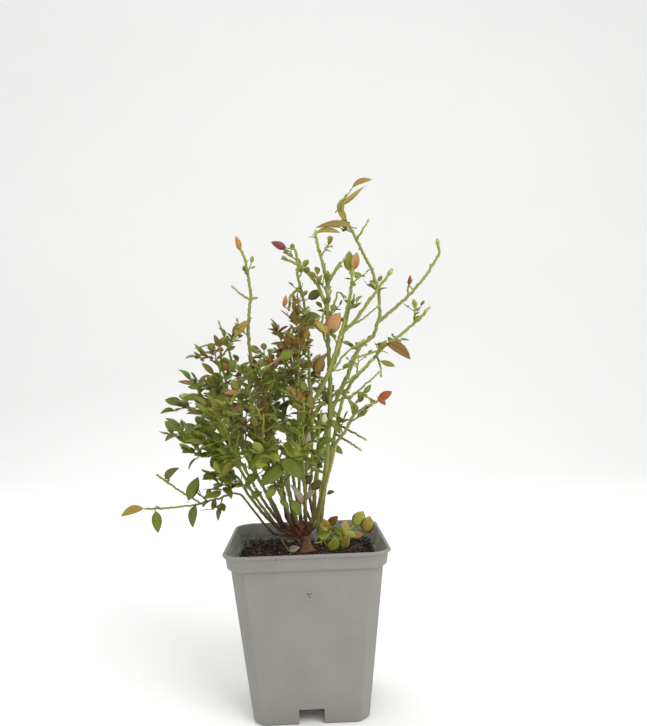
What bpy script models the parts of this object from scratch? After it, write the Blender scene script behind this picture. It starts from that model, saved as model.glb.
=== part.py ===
"""A young blueberry bush in a square nursery pot.

Metres, +Z up. The origin is the middle of the pot's flat underside, and -Y is the side that is seen.
Limbs are tapering tubes along smooth curves. Each mass of leaves is one stem that carries on from its
bough, with twigs and leaves set along it by a seeded rule, all joined into one solid.
"""

import math
import random

import bmesh
import bpy
from mathutils import Vector
from mathutils.kdtree import KDTree

# Pot: a 9 cm square nursery pot, 95 mm tall
POT_HEIGHT = 0.095
RIM_HALF = 0.045
RIM_BAND = 0.0095
BODY_TOP_HALF = 0.0408
BODY_FOOT_HALF = 0.0316
CORNER_TOP = 0.0075
CORNER_FOOT = 0.0055
RIM_CORNER = 0.0105
WALL = 0.0012
FLOOR_THICK = 0.0014
NOTCH_WIDE = 0.0137
NOTCH_HIGH = 0.0084
NOTCH_DEEP = 0.018
SLOT_HALF = 0.003
SLOT_FOOT = 0.003
SLOT_TOP = 0.0065
CUT_PAST = 0.004
CORNER_STEPS = 4

# Soil
SOIL_TOP = 0.0840
SOIL_MOUND = 0.0016
SOIL_RINGS = 5
GAP = 0.0003

# Trunk: the woody crown that all the stems rise from
TRUNK_FOOT = Vector((0.0, 0.008, SOIL_TOP + GAP))
TRUNK_NECK = Vector((-0.0012, 0.0085, 0.0935))
TRUNK_FLARE = 0.0052
TRUNK_WAIST = 0.0028
CROWN = Vector((-0.0028, 0.0085, 0.0930))
CROWN_REACH = Vector((0.0135, 0.0095, 0.0100))
TRUNK_LOBES = 3
STUB_RADIUS = 0.0016
STUB_SIDES = 5
TRUNK_SIDES = 12
BOUGH_SIDES = 6
TWIG_SIDES = 3

# Growth
GOLDEN_TURN = math.radians(137.5)
STEP = 0.011
LEAF_WIDE = 0.62
LEAF_WIDEST = 0.48
LEAF_THICK = 0.07
LEAF_LEAST_THICK = 0.0005
ROOT_SINK = 0.0004
TIP_FACE = Vector((0.2, -0.4, 1.0))
OUTLINE_FACE = Vector((0.1, -0.8, 0.6))
LEAF_SPACING = 0.0078
BARE_SPACING = 0.0255
BARE_TWIGS = 5
SHOOT_SHARE = 0.8
TWIG_ROOT_RADIUS = 0.0005
TWIG_TIP_RADIUS = 0.00035
STEM_TIP_RADIUS = 0.00045
BENT_TWIG = 0.013
LIMB_CLEAR = 0.0006
SPACE_CLEAR = 0.0005
RIM_CLEAR = POT_HEIGHT + 0.003
WALL_CLEAR = 0.003
SOIL_CLEAR = SOIL_TOP + 0.0015

# Each bough leaves the crown at an azimuth (0 is +X, 90 is the back) and a lean from upright, in
# degrees, and runs through the given points. Radii are at its foot and at its tip.
BOUGHS = {
    "left_runner": dict(turn=186, lean=80, radii=(0.0007, 0.0006), path=[
        (-0.0255, 0.005, 0.1030), (-0.0375, 0.001, 0.1205), (-0.0415, 0.000, 0.1218)]),
    "left_low": dict(turn=172, lean=62, radii=(0.0010, 0.0008), path=[
        (-0.0255, 0.007, 0.1080), (-0.0325, 0.005, 0.1180)]),
    "left_mid": dict(turn=146, lean=60, radii=(0.0010, 0.0008), path=[
        (-0.0230, 0.016, 0.1100), (-0.0305, 0.018, 0.1220)]),
    "left_top": dict(turn=196, lean=44, radii=(0.0010, 0.0008), path=[
        (-0.0185, 0.005, 0.1130), (-0.0265, 0.001, 0.1280)]),
    "left_inner": dict(turn=222, lean=28, radii=(0.0009, 0.0007), path=[
        (-0.0130, 0.001, 0.1160), (-0.0180, -0.004, 0.1290)]),
    "left_tall": dict(turn=176, lean=30, radii=(0.0011, 0.0008), path=[
        (-0.0145, 0.009, 0.1300), (-0.0240, 0.008, 0.1640), (-0.0280, 0.005, 0.1890)]),
    "front_left": dict(turn=214, lean=64, radii=(0.0009, 0.0007), path=[
        (-0.0215, -0.008, 0.1100), (-0.0280, -0.015, 0.1210)]),
    "front_centre": dict(turn=244, lean=50, radii=(0.0009, 0.0007), path=[
        (-0.0100, -0.004, 0.1090), (-0.0125, -0.010, 0.1190)]),
    "front_right": dict(turn=282, lean=52, radii=(0.0009, 0.0007), path=[
        (-0.0005, -0.006, 0.1120), (0.0000, -0.014, 0.1250)]),
    "centre_mid": dict(turn=120, lean=36, radii=(0.0010, 0.0008), path=[
        (-0.0100, 0.015, 0.1180), (-0.0130, 0.017, 0.1290)]),
    "centre_top": dict(turn=262, lean=12, radii=(0.0010, 0.0008), path=[
        (-0.0035, 0.005, 0.1200), (-0.0030, 0.003, 0.1370)]),
    "centre_shoot": dict(turn=70, lean=22, radii=(0.0010, 0.0007), path=[
        (0.0010, 0.015, 0.1320), (0.0045, 0.012, 0.1740), (0.0045, 0.009, 0.2160)]),
    "right_pale": dict(turn=332, lean=30, radii=(0.0014, 0.0011), path=[
        (0.0080, 0.003, 0.1110), (0.0125, 0.000, 0.1335), (0.0150, -0.002, 0.1580)]),
    "right_green": dict(turn=248, lean=27, radii=(0.0011, 0.0010), path=[
        (-0.0095, -0.001, 0.1230), (-0.0090, -0.006, 0.1480), (0.0080, -0.010, 0.1760)]),
    "right_long": dict(turn=20, lean=28, radii=(0.0012, 0.0010), path=[
        (0.0055, 0.010, 0.1200), (0.0105, 0.011, 0.1440), (0.0190, 0.012, 0.1710)]),
    "right_tip": dict(turn=355, lean=44, radii=(0.0010, 0.0008), path=[
        (0.0125, 0.006, 0.1270), (0.0190, 0.003, 0.1560), (0.0240, 0.001, 0.1760)]),
    "right_low": dict(turn=312, lean=50, radii=(0.0009, 0.0007), path=[
        (0.0105, -0.004, 0.1200), (0.0155, -0.009, 0.1380), (0.0180, -0.012, 0.1490)]),
    "back_left": dict(turn=134, lean=70, radii=(0.0011, 0.0008), path=[
        (-0.0200, 0.024, 0.1080), (-0.0290, 0.033, 0.1250)]),
    "back_top": dict(turn=92, lean=40, radii=(0.0011, 0.0008), path=[
        (-0.0065, 0.021, 0.1210), (-0.0090, 0.026, 0.1420)]),
    "back_centre": dict(turn=112, lean=66, radii=(0.0010, 0.0008), path=[
        (-0.0120, 0.025, 0.1080), (-0.0165, 0.035, 0.1220)]),
    "back_right": dict(turn=54, lean=46, radii=(0.0010, 0.0008), path=[
        (0.0025, 0.020, 0.1150), (0.0045, 0.027, 0.1310)]),
    "back_low": dict(turn=66, lean=74, radii=(0.0009, 0.0007), path=[
        (0.0000, 0.026, 0.1060), (-0.0005, 0.035, 0.1160)]),
}

# Each mass carries on from its bough along a path. shoots are side stems with a shape of their own:
# the first point is where they leave the stem. blades are single leaves or buds that shape the
# outline, from root to tip, with the width as a share of the length. twigs is how many side twigs
# the seeded rule sets, reach their length, and leaf the length of a leaf.
MASSES = {
    "left_runner": dict(seed=11, twigs=2, reach=0.008, leaf=0.0090, path=[
        (-0.0505, -0.002, 0.1190), (-0.0615, -0.005, 0.1170)], shoots=[
        [(-0.0600, -0.005, 0.1170), (-0.0735, -0.008, 0.1270), (-0.0835, -0.011, 0.1355)],
        [(-0.0610, -0.005, 0.1168), (-0.0780, -0.004, 0.1150), (-0.0910, -0.006, 0.1155)]], blades=[
        [(-0.0910, -0.006, 0.1155), (-0.1055, -0.007, 0.1120), 0.36],
        [(-0.0770, -0.005, 0.1240), (-0.0720, -0.010, 0.1400), 0.55],
        [(-0.0840, -0.005, 0.1152), (-0.0820, -0.008, 0.1020), 0.60],
        [(-0.0640, -0.005, 0.1185), (-0.0605, -0.010, 0.1330), 0.55],
        [(-0.0630, -0.005, 0.1160), (-0.0640, -0.009, 0.1040), 0.60]]),
    "left_low": dict(seed=12, twigs=9, reach=0.021, leaf=0.0120, path=[
        (-0.0390, 0.003, 0.1300), (-0.0480, -0.003, 0.1400), (-0.0560, -0.008, 0.1500),
        (-0.0640, -0.012, 0.1600)]),
    "left_mid": dict(seed=13, twigs=9, reach=0.022, leaf=0.0120, path=[
        (-0.0375, 0.019, 0.1350), (-0.0480, 0.018, 0.1520), (-0.0580, 0.016, 0.1690),
        (-0.0670, 0.016, 0.1800)]),
    "left_top": dict(seed=14, twigs=11, reach=0.021, leaf=0.0115, path=[
        (-0.0350, -0.003, 0.1460), (-0.0395, -0.006, 0.1650), (-0.0430, -0.008, 0.1850),
        (-0.0460, -0.010, 0.2070)], blades=[
        [(-0.0460, -0.010, 0.2065), (-0.0500, -0.012, 0.2180), 0.42],
        [(-0.0460, -0.010, 0.2060), (-0.0415, -0.007, 0.2150), 0.45]]),
    "left_inner": dict(seed=15, twigs=10, reach=0.020, leaf=0.0120, path=[
        (-0.0235, -0.010, 0.1450), (-0.0270, -0.016, 0.1620), (-0.0290, -0.020, 0.1790),
        (-0.0250, -0.020, 0.1930)]),
    "left_tall": dict(seed=16, twigs=2, reach=0.007, leaf=0.0080, path=[
        (-0.0305, 0.002, 0.2150), (-0.0280, 0.000, 0.2360), (-0.0305, -0.001, 0.2570),
        (-0.0340, -0.002, 0.2650)], blades=[
        [(-0.0340, -0.002, 0.2645), (-0.0350, -0.003, 0.2715), 0.60],
        [(-0.0302, 0.001, 0.2210), (-0.0410, -0.004, 0.2110), 0.45]]),
    "front_left": dict(seed=17, twigs=10, reach=0.021, leaf=0.0120, path=[
        (-0.0325, -0.020, 0.1320), (-0.0385, -0.030, 0.1490), (-0.0410, -0.037, 0.1640),
        (-0.0405, -0.041, 0.1760)]),
    "front_centre": dict(seed=18, twigs=10, reach=0.020, leaf=0.0130, path=[
        (-0.0140, -0.014, 0.1260), (-0.0180, -0.024, 0.1420), (-0.0215, -0.033, 0.1550),
        (-0.0205, -0.038, 0.1680)]),
    "front_right": dict(seed=19, twigs=7, reach=0.016, leaf=0.0105, path=[
        (-0.0010, -0.026, 0.1450), (0.0000, -0.033, 0.1600), (0.0010, -0.036, 0.1740)]),
    "centre_mid": dict(seed=20, twigs=12, reach=0.022, leaf=0.0120, path=[
        (-0.0175, 0.019, 0.1475), (-0.0200, 0.020, 0.1660), (-0.0195, 0.020, 0.1850),
        (-0.0210, 0.018, 0.2020)]),
    "centre_top": dict(seed=21, twigs=13, reach=0.021, leaf=0.0120, path=[
        (-0.0028, 0.000, 0.1520), (-0.0025, -0.002, 0.1720), (-0.0020, -0.005, 0.1920),
        (-0.0010, -0.008, 0.2110), (0.0010, -0.009, 0.2230)], blades=[
        [(0.0010, -0.009, 0.2190), (0.0150, -0.014, 0.2230), 0.62]]),
    "centre_shoot": dict(seed=22, twigs=4, reach=0.012, leaf=0.0080, path=[
        (0.0025, 0.007, 0.2340), (-0.0005, 0.006, 0.2475), (0.0000, 0.005, 0.2560),
        (-0.0015, 0.005, 0.2635)], shoots=[
        [(0.0010, 0.006, 0.2420), (-0.0055, 0.003, 0.2350), (-0.0060, 0.001, 0.2270)]], blades=[
        [(-0.0010, 0.005, 0.2630), (-0.0105, 0.003, 0.2650), 0.45]]),
    "right_pale": dict(seed=23, twigs=5, reach=0.013, leaf=0.0095, path=[
        (0.0165, -0.003, 0.1830), (0.0160, -0.004, 0.2060), (0.0160, -0.005, 0.2260),
        (0.0165, -0.006, 0.2415), (0.0125, -0.007, 0.2585), (0.0105, -0.008, 0.2700)], shoots=[
        [(0.0160, -0.005, 0.2270), (0.0110, -0.005, 0.2410), (0.0010, -0.003, 0.2530),
         (-0.0095, -0.003, 0.2570)],
        [(0.0165, -0.006, 0.2400), (0.0185, -0.009, 0.2440), (0.0240, -0.012, 0.2520)]], blades=[
        [(0.0105, -0.008, 0.2695), (0.0300, -0.010, 0.2715), 0.22]]),
    "right_green": dict(seed=24, twigs=4, reach=0.012, leaf=0.0095, path=[
        (0.0160, -0.012, 0.1910), (0.0215, -0.013, 0.2070), (0.0265, -0.014, 0.2235),
        (0.0300, -0.015, 0.2400), (0.0305, -0.015, 0.2480)], shoots=[
        [(0.0230, -0.013, 0.2110), (0.0315, -0.015, 0.2190), (0.0390, -0.016, 0.2290),
         (0.0460, -0.017, 0.2380), (0.0510, -0.018, 0.2440)]], blades=[
        [(0.0305, -0.015, 0.2470), (0.0305, -0.015, 0.2590), 0.55]]),
    "right_long": dict(seed=25, twigs=3, reach=0.010, leaf=0.0090, path=[
        (0.0285, 0.014, 0.1900), (0.0360, 0.015, 0.2060), (0.0445, 0.015, 0.2120),
        (0.0485, 0.014, 0.2245), (0.0480, 0.012, 0.2395), (0.0435, 0.010, 0.2525),
        (0.0370, 0.008, 0.2650), (0.0320, 0.006, 0.2750), (0.0270, 0.004, 0.2825),
        (0.0250, 0.004, 0.2890), (0.0300, 0.004, 0.2945)], shoots=[
        [(0.0475, 0.015, 0.2205), (0.0560, 0.017, 0.2270), (0.0700, 0.018, 0.2390),
         (0.0800, 0.019, 0.2510), (0.0872, 0.019, 0.2625), (0.0857, 0.019, 0.2700)]], blades=[
        [(0.0315, 0.006, 0.2758), (0.0240, 0.003, 0.2885), 0.30],
        [(0.0260, 0.004, 0.2905), (0.0420, 0.004, 0.3055), 0.32],
        [(0.0280, 0.004, 0.2925), (0.0446, 0.004, 0.3030), 0.22]]),
    "right_tip": dict(seed=26, twigs=4, reach=0.012, leaf=0.0100, path=[
        (0.0300, -0.001, 0.1855), (0.0385, -0.003, 0.1940), (0.0485, -0.005, 0.2045),
        (0.0575, -0.005, 0.2100), (0.0665, -0.006, 0.2175), (0.0735, -0.006, 0.2240)], blades=[
        [(0.0490, -0.005, 0.2048), (0.0632, -0.007, 0.1965), 0.30],
        [(0.0735, -0.006, 0.2235), (0.0775, -0.007, 0.2290), 0.50]]),
    "right_low": dict(seed=27, twigs=3, reach=0.011, leaf=0.0095, path=[
        (0.0240, -0.015, 0.1570), (0.0285, -0.017, 0.1660), (0.0265, -0.018, 0.1750)], shoots=[
        [(0.0285, -0.017, 0.1660), (0.0350, -0.018, 0.1700), (0.0420, -0.019, 0.1730)]], blades=[
        [(0.0415, -0.019, 0.1730), (0.0500, -0.020, 0.1760), 0.50]]),
    "back_left": dict(seed=28, twigs=9, reach=0.022, leaf=0.0120, path=[
        (-0.0370, 0.041, 0.1430), (-0.0430, 0.048, 0.1600), (-0.0470, 0.053, 0.1760),
        (-0.0450, 0.056, 0.1890)]),
    "back_top": dict(seed=29, twigs=9, reach=0.021, leaf=0.0115, path=[
        (-0.0110, 0.031, 0.1640), (-0.0115, 0.036, 0.1870), (-0.0080, 0.039, 0.2080),
        (-0.0040, 0.041, 0.2210)]),
    "back_centre": dict(seed=30, twigs=8, reach=0.020, leaf=0.0120, path=[
        (-0.0205, 0.044, 0.1360), (-0.0230, 0.051, 0.1500), (-0.0240, 0.057, 0.1650),
        (-0.0260, 0.061, 0.1770)]),
    "back_right": dict(seed=31, twigs=8, reach=0.018, leaf=0.0110, path=[
        (0.0055, 0.034, 0.1480), (0.0060, 0.040, 0.1660), (0.0060, 0.044, 0.1830),
        (0.0050, 0.046, 0.1950)]),
    "back_low": dict(seed=32, twigs=6, reach=0.016, leaf=0.0110, path=[
        (-0.0020, 0.045, 0.1270), (-0.0035, 0.053, 0.1390), (-0.0040, 0.058, 0.1510)]),
}

# The creeping shoot that lies over the soil on the right, with its round leaves
CREEPER = dict(seed=40, twigs=0, reach=0.0, leaf=0.0090, path=[
    (0.0080, 0.013, 0.0880), (0.0160, 0.018, 0.0895), (0.0240, 0.023, 0.0915), (0.0310, 0.027, 0.0945)],
    blades=[
    [(0.0160, 0.018, 0.0895), (0.0220, 0.010, 0.0900), 0.80],
    [(0.0230, 0.022, 0.0912), (0.0290, 0.014, 0.0925), 0.80],
    [(0.0090, 0.013, 0.0885), (0.0120, 0.021, 0.0985), 0.70],
    [(0.0240, 0.023, 0.0915), (0.0250, 0.031, 0.0985), 0.70],
    [(0.0305, 0.026, 0.0943), (0.0360, 0.028, 0.1035), 0.80]])
CREEPER_START = TRUNK_FOOT + Vector((0.0047, 0.0024, 0.0040))
CREEPER_STEP = 0.008
CREEPER_RADIUS = 0.0006


def clear_scene():
    for obj in list(bpy.data.objects):
        bpy.data.objects.remove(obj, do_unlink=True)


def make_material(name, colour, roughness):
    """A plain, non-metal material of one colour."""
    material = bpy.data.materials.new(name)
    material.use_nodes = True
    shader = material.node_tree.nodes["Principled BSDF"]
    shader.inputs["Base Color"].default_value = (*colour, 1.0)
    shader.inputs["Roughness"].default_value = roughness
    shader.inputs["Metallic"].default_value = 0.0
    material.diffuse_color = (*colour, 1.0)
    return material


def object_from(bm, name, material=None):
    """A new object that holds the bmesh, with its faces turned outwards."""
    bmesh.ops.recalc_face_normals(bm, faces=bm.faces[:])
    mesh = bpy.data.meshes.new(name)
    bm.to_mesh(mesh)
    bm.free()
    if material:
        mesh.materials.append(material)
    obj = bpy.data.objects.new(name, mesh)
    bpy.context.scene.collection.objects.link(obj)
    return obj


def quarter_turn(x, y, quarter):
    """A plan point turned about the pot's middle by a number of right angles."""
    for _ in range(quarter):
        x, y = -y, x
    return x, y


def square_ring(half, corner, bulge, height):
    """Points round a square with its corners cut: bulge 0 is a flat cut and 1 a round corner."""
    ring = []
    for quarter in range(4):
        for step in range(CORNER_STEPS):
            share = step / (CORNER_STEPS - 1)
            angle = share * math.pi / 2
            flat = Vector((half - corner * share, half - corner * (1 - share)))
            centre = half - corner
            arc = Vector((centre + corner * math.cos(angle), centre + corner * math.sin(angle)))
            ring.append((*quarter_turn(*flat.lerp(arc, bulge), quarter), height))
    return ring


def loft(bm, rings):
    """Skins a list of point rings into one closed shape, with a flat cap at each end."""
    loops = [[bm.verts.new(point) for point in ring] for ring in rings]
    for below, above in zip(loops, loops[1:]):
        for i in range(len(below)):
            j = (i + 1) % len(below)
            bm.faces.new((below[i], below[j], above[j], above[i]))
    bm.faces.new(loops[0])
    bm.faces.new(loops[-1])


def body_half(height):
    """Half the pot's outer width at a height, below the rim band."""
    share = height / (POT_HEIGHT - RIM_BAND)
    return BODY_FOOT_HALF + (BODY_TOP_HALF - BODY_FOOT_HALF) * share


def body_corner(height):
    share = height / (POT_HEIGHT - RIM_BAND)
    return CORNER_FOOT + (CORNER_TOP - CORNER_FOOT) * share


def four_blocks(name, inner, outer, half, foot, top):
    """A block in the middle of each side. outer gives its far end at a height."""
    bm = bmesh.new()
    for quarter in range(4):
        rings = []
        for height in (foot, top):
            plan = ((inner, -half), (outer(height), -half), (outer(height), half), (inner, half))
            rings.append([(*quarter_turn(x, y, quarter), height) for x, y in plan])
        loft(bm, rings)
    blocks = object_from(bm, name)
    blocks.hide_render = True
    blocks.display_type = "WIRE"
    return blocks


def notch_blocks(name, grow, foot, proud):
    """The drain channels' room, larger by grow all round and standing proud of the wall."""
    return four_blocks(name, BODY_FOOT_HALF - NOTCH_DEEP - grow, lambda height: body_half(height) + proud,
                       NOTCH_WIDE / 2 + grow, foot, NOTCH_HIGH + grow)


def boolean(obj, name, other, operation):
    modifier = obj.modifiers.new(name, "BOOLEAN")
    modifier.operation = operation
    modifier.solver = "EXACT"
    modifier.object = other


def build_pot(material):
    """A thin shell with a folded rim, chamfered corners and a raised drain channel in each side."""
    band = POT_HEIGHT - RIM_BAND
    outside = [
        (0.0, BODY_FOOT_HALF - 0.0010, CORNER_FOOT, 0.3),
        (0.0012, body_half(0.0012), CORNER_FOOT, 0.3),
        (band, BODY_TOP_HALF, CORNER_TOP, 0.3),
        (band + 0.0004, BODY_TOP_HALF + 0.0020, CORNER_TOP + 0.001, 0.6),
        (band + 0.0036, RIM_HALF - 0.0006, RIM_CORNER, 0.9),
        (POT_HEIGHT - 0.0008, RIM_HALF, RIM_CORNER, 1.0),
        (POT_HEIGHT, RIM_HALF - 0.0006, RIM_CORNER - 0.0004, 1.0),
    ]
    inside = [
        (POT_HEIGHT, RIM_HALF - 0.0020, RIM_CORNER - 0.0012, 1.0),
        (POT_HEIGHT - 0.0012, RIM_HALF - 0.0030, RIM_CORNER - 0.0014, 1.0),
        (band, BODY_TOP_HALF - WALL, CORNER_TOP, 0.5),
        (FLOOR_THICK, body_half(FLOOR_THICK) - WALL, CORNER_FOOT, 0.3),
    ]
    bm = bmesh.new()
    loft(bm, [square_ring(half, corner, bulge, height) for height, half, corner, bulge in outside + inside])
    pot = object_from(bm, "pot", material)
    housings = notch_blocks("drain_housings", WALL, FLOOR_THICK / 2, -WALL / 2)
    notches = notch_blocks("drain_notches", 0.0, -CUT_PAST, CUT_PAST)
    end = BODY_FOOT_HALF - NOTCH_DEEP
    slots = four_blocks("drain_slots", end - 2 * WALL, lambda height: end + CUT_PAST,
                        SLOT_HALF, SLOT_FOOT, SLOT_TOP)
    boolean(pot, "housings", housings, "UNION")
    boolean(pot, "notches", notches, "DIFFERENCE")
    boolean(pot, "slots", slots, "DIFFERENCE")


def soil_height(x, y):
    """The soil's surface: a low mound at the trunk, with gentle lumps away from it."""
    away = math.hypot(x - TRUNK_FOOT.x, y - TRUNK_FOOT.y)
    mound = SOIL_MOUND * math.exp(-((away / 0.018) ** 2))
    lumps = 0.0007 * math.sin(310 * x + 1.3) * math.cos(270 * y + 0.4) + 0.0004 * math.sin(640 * (x + y))
    level = min(1.0, max(0.0, (away - TRUNK_FLARE) / 0.01))
    return SOIL_TOP - SOIL_MOUND + mound + level * lumps


def build_soil(material):
    """Peat that fills the pot to just under its rim, cut clear of the drain channels."""
    low = FLOOR_THICK + GAP
    inset = WALL + 2 * GAP
    rings = [square_ring(body_half(low) - inset, body_corner(low), 0.3, low)]
    edge = square_ring(body_half(SOIL_TOP) - inset, body_corner(SOIL_TOP), 0.3, 0.0)
    for step in range(SOIL_RINGS):
        share = 1 - step / SOIL_RINGS
        rings.append([(x * share, y * share, soil_height(x * share, y * share)) for x, y, _ in edge])
    bm = bmesh.new()
    loft(bm, rings)
    soil = object_from(bm, "soil", material)
    cutters = notch_blocks("soil_cutters", WALL + GAP, FLOOR_THICK / 2, CUT_PAST)
    boolean(soil, "channels", cutters, "DIFFERENCE")


def smooth_path(points, step=STEP):
    """Points along the smooth curve through the given ones, about a step apart."""
    points = [Vector(point) for point in points]
    ends = [points[0] * 2 - points[1]] + points + [points[-1] * 2 - points[-2]]
    path = [points[0].copy()]
    for before, a, b, after in zip(ends, ends[1:], ends[2:], ends[3:]):
        pieces = max(1, round((b - a).length / step))
        for piece in range(1, pieces + 1):
            t = piece / pieces
            path.append(0.5 * (2 * a + (b - before) * t + (2 * before - 5 * a + 4 * b - after) * t ** 2
                               + (3 * a - before - 3 * b + after) * t ** 3))
    return path


def across(direction, turn):
    """A unit vector square to a direction, turned about it."""
    base = Vector((0, 0, 1)).cross(direction)
    if base.length < 0.1:
        base = Vector((1, 0, 0)).cross(direction)
    base.normalize()
    return base * math.cos(turn) + direction.cross(base) * math.sin(turn)


def tube(bm, path, first, last, sides):
    """A closed tapering tube along a path, from one radius to the other."""
    rings = []
    side = across((path[1] - path[0]).normalized(), 0.4)
    for i, point in enumerate(path):
        along = (path[min(i + 1, len(path) - 1)] - path[max(i - 1, 0)]).normalized()
        side = (side - along * side.dot(along)).normalized()
        other = along.cross(side)
        radius = first + (last - first) * i / (len(path) - 1)
        rings.append([point + (side * math.cos(2 * math.pi * k / sides)
                               + other * math.sin(2 * math.pi * k / sides)) * radius for k in range(sides)])
    loft(bm, rings)


def crown_point(turn, lean):
    """Where a bough leaves the crown, and the direction it starts in."""
    turn, lean = math.radians(turn), math.radians(lean)
    way = Vector((math.sin(lean) * math.cos(turn), math.sin(lean) * math.sin(turn), math.cos(lean)))
    reach = Vector((way.x * CROWN_REACH.x, way.y * CROWN_REACH.y, way.z * CROWN_REACH.z))
    return CROWN + reach, reach.normalized()


def build_trunk(material):
    """A short flared foot with a woody stub for each bough, joined into one solid."""
    rings = []
    heights = (0.0, 0.0012, 0.0032, 0.0062, 0.0092)
    radii = (TRUNK_FLARE, TRUNK_FLARE * 0.80, TRUNK_FLARE * 0.62, TRUNK_WAIST, TRUNK_WAIST * 1.25)
    for height, radius in zip(heights, radii):
        centre = TRUNK_FOOT.lerp(TRUNK_NECK, height / heights[-1])
        ring = []
        for k in range(TRUNK_SIDES):
            angle = 2 * math.pi * k / TRUNK_SIDES
            root = 1 + 0.16 * (1 - height / heights[-1]) * math.cos(TRUNK_LOBES * angle + 0.6)
            ring.append((centre.x + radius * root * math.cos(angle),
                         centre.y + radius * root * math.sin(angle), TRUNK_FOOT.z + height))
        rings.append(ring)
    bm = bmesh.new()
    loft(bm, rings)
    trunk = object_from(bm, "trunk", material)
    stubs = []
    for name, bough in BOUGHS.items():
        end, way = crown_point(bough["turn"], bough["lean"])
        start = TRUNK_NECK - way * 0.001 - Vector((0, 0, 0.0015))
        middle = start.lerp(end - way * 0.004, 0.55)
        bm = bmesh.new()
        tube(bm, [start, middle, end], STUB_RADIUS, bough["radii"][0] * 1.1, STUB_SIDES)
        stubs.append(object_from(bm, name + "_stub"))
    fuse(trunk, stubs)


def fuse(host, shapes):
    """Joins shapes into the host with one union and leaves only its largest closed piece.

    The shapes are all closed, so the manifold solver joins this many in a fraction of the time.
    """
    group = bpy.data.collections.new(host.name + "_shapes")
    bpy.context.scene.collection.children.link(group)
    for shape in shapes:
        bpy.context.scene.collection.objects.unlink(shape)
        group.objects.link(shape)
    if shapes:
        modifier = host.modifiers.new("join", "BOOLEAN")
        modifier.operation = "UNION"
        modifier.operand_type = "COLLECTION"
        modifier.collection = group
        modifier.solver = "MANIFOLD"
        graph = bpy.context.evaluated_depsgraph_get()
        joined = bpy.data.meshes.new_from_object(host.evaluated_get(graph))
        host.modifiers.clear()
        old, host.data = host.data, joined
        joined.name = host.name
        bpy.data.meshes.remove(old)
    for shape in shapes:
        bpy.data.objects.remove(shape, do_unlink=True)
    bpy.data.collections.remove(group)
    keep_largest(host)


def keep_largest(obj):
    """Drops loose scraps and the walls of sealed hollows."""
    bm = bmesh.new()
    bm.from_mesh(obj.data)
    bmesh.ops.triangulate(bm, faces=bm.faces[:])
    bm.verts.ensure_lookup_table()
    left, pieces = set(bm.verts), []
    while left:
        piece, edge = set(), [left.pop()]
        while edge:
            vert = edge.pop()
            piece.add(vert)
            for link in vert.link_edges:
                other = link.other_vert(vert)
                if other in left:
                    left.discard(other)
                    edge.append(other)
        pieces.append(piece)
    largest = max(pieces, key=len)
    bmesh.ops.delete(bm, geom=[vert for vert in bm.verts if vert not in largest], context="VERTS")
    bm.to_mesh(obj.data)
    bm.free()


def leaf_points(root, tip, face, wide):
    """The six corners of a leaf: its root, tip and edges, and a low ridge on both faces."""
    along = tip - root
    length = along.length
    along.normalize()
    face = (face - along * face.dot(along)).normalized()
    side = along.cross(face)
    middle = root + along * length * LEAF_WIDEST
    thick = max(length * LEAF_THICK, LEAF_LEAST_THICK) / 2
    return [root, tip, middle + side * length * wide / 2, middle - side * length * wide / 2,
            middle + face * thick, middle - face * thick]


def leaf(bm, points):
    root, tip, left, right, top, under = [bm.verts.new(point) for point in points]
    for first, second, third in ((root, left, top), (left, tip, top), (tip, right, top), (right, root, top),
                                 (left, root, under), (tip, left, under), (right, tip, under),
                                 (root, right, under)):
        bm.faces.new((first, second, third))


class Spaces:
    """Which mass a place belongs to: the one whose own stems are nearest, clear of every limb."""

    def __init__(self, limbs, stems):
        self.limbs = self.tree([mark for marks in limbs.values() for mark in marks])
        self.radii = [radius for marks in limbs.values() for _, radius in marks]
        self.stems = {name: self.tree(marks) for name, marks in stems.items()}

    @staticmethod
    def tree(marks):
        tree = KDTree(len(marks))
        for i, (point, _) in enumerate(marks):
            tree.insert(point, i)
        tree.balance()
        return tree

    def holds(self, name, point):
        _, index, distance = self.limbs.find(point)
        if distance < self.radii[index] + LIMB_CLEAR:
            return False
        own = self.stems[name].find(point)[2]
        for other, tree in self.stems.items():
            if other != name and tree.find(point)[2] < own + 2 * SPACE_CLEAR:
                return False
        over_soil = max(abs(point.x), abs(point.y)) < BODY_TOP_HALF - WALL_CLEAR
        return point.z > RIM_CLEAR or (over_soil and point.z > SOIL_CLEAR)


def marks_along(path, first, last, step=0.0015):
    """Sample points along a path, each with the limb's radius there."""
    marks = []
    for a, b in zip(path, path[1:]):
        pieces = max(1, math.ceil((b - a).length / step))
        marks += [(a.lerp(b, piece / pieces), first) for piece in range(pieces)]
    marks.append((path[-1], last))
    return marks


def at_share(path, share):
    """The point and the direction at a share of a path's length."""
    spans = [(b - a).length for a, b in zip(path, path[1:])]
    left = share * sum(spans)
    for (a, b), span in zip(zip(path, path[1:]), spans):
        if left <= span:
            return a.lerp(b, left / span), (b - a).normalized()
        left -= span
    return path[-1], (path[-1] - path[-2]).normalized()


def bough_path(bough):
    start, way = crown_point(bough["turn"], bough["lean"])
    start = start + way * GAP
    return smooth_path([start, start + way * 0.003] + bough["path"])


def mass_stems(name, mass):
    """The mass's own stem, carried on from its bough's tip, and the shoots that leave it."""
    if name == "creeper":
        stem = smooth_path([CREEPER_START] + mass["path"], CREEPER_STEP)
    else:
        limb = bough_path(BOUGHS[name])
        way = (limb[-1] - limb[-2]).normalized()
        stem = smooth_path([limb[-1] + way * GAP] + mass["path"])
    return [stem] + [smooth_path(shoot) for shoot in mass.get("shoots", [])]


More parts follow.
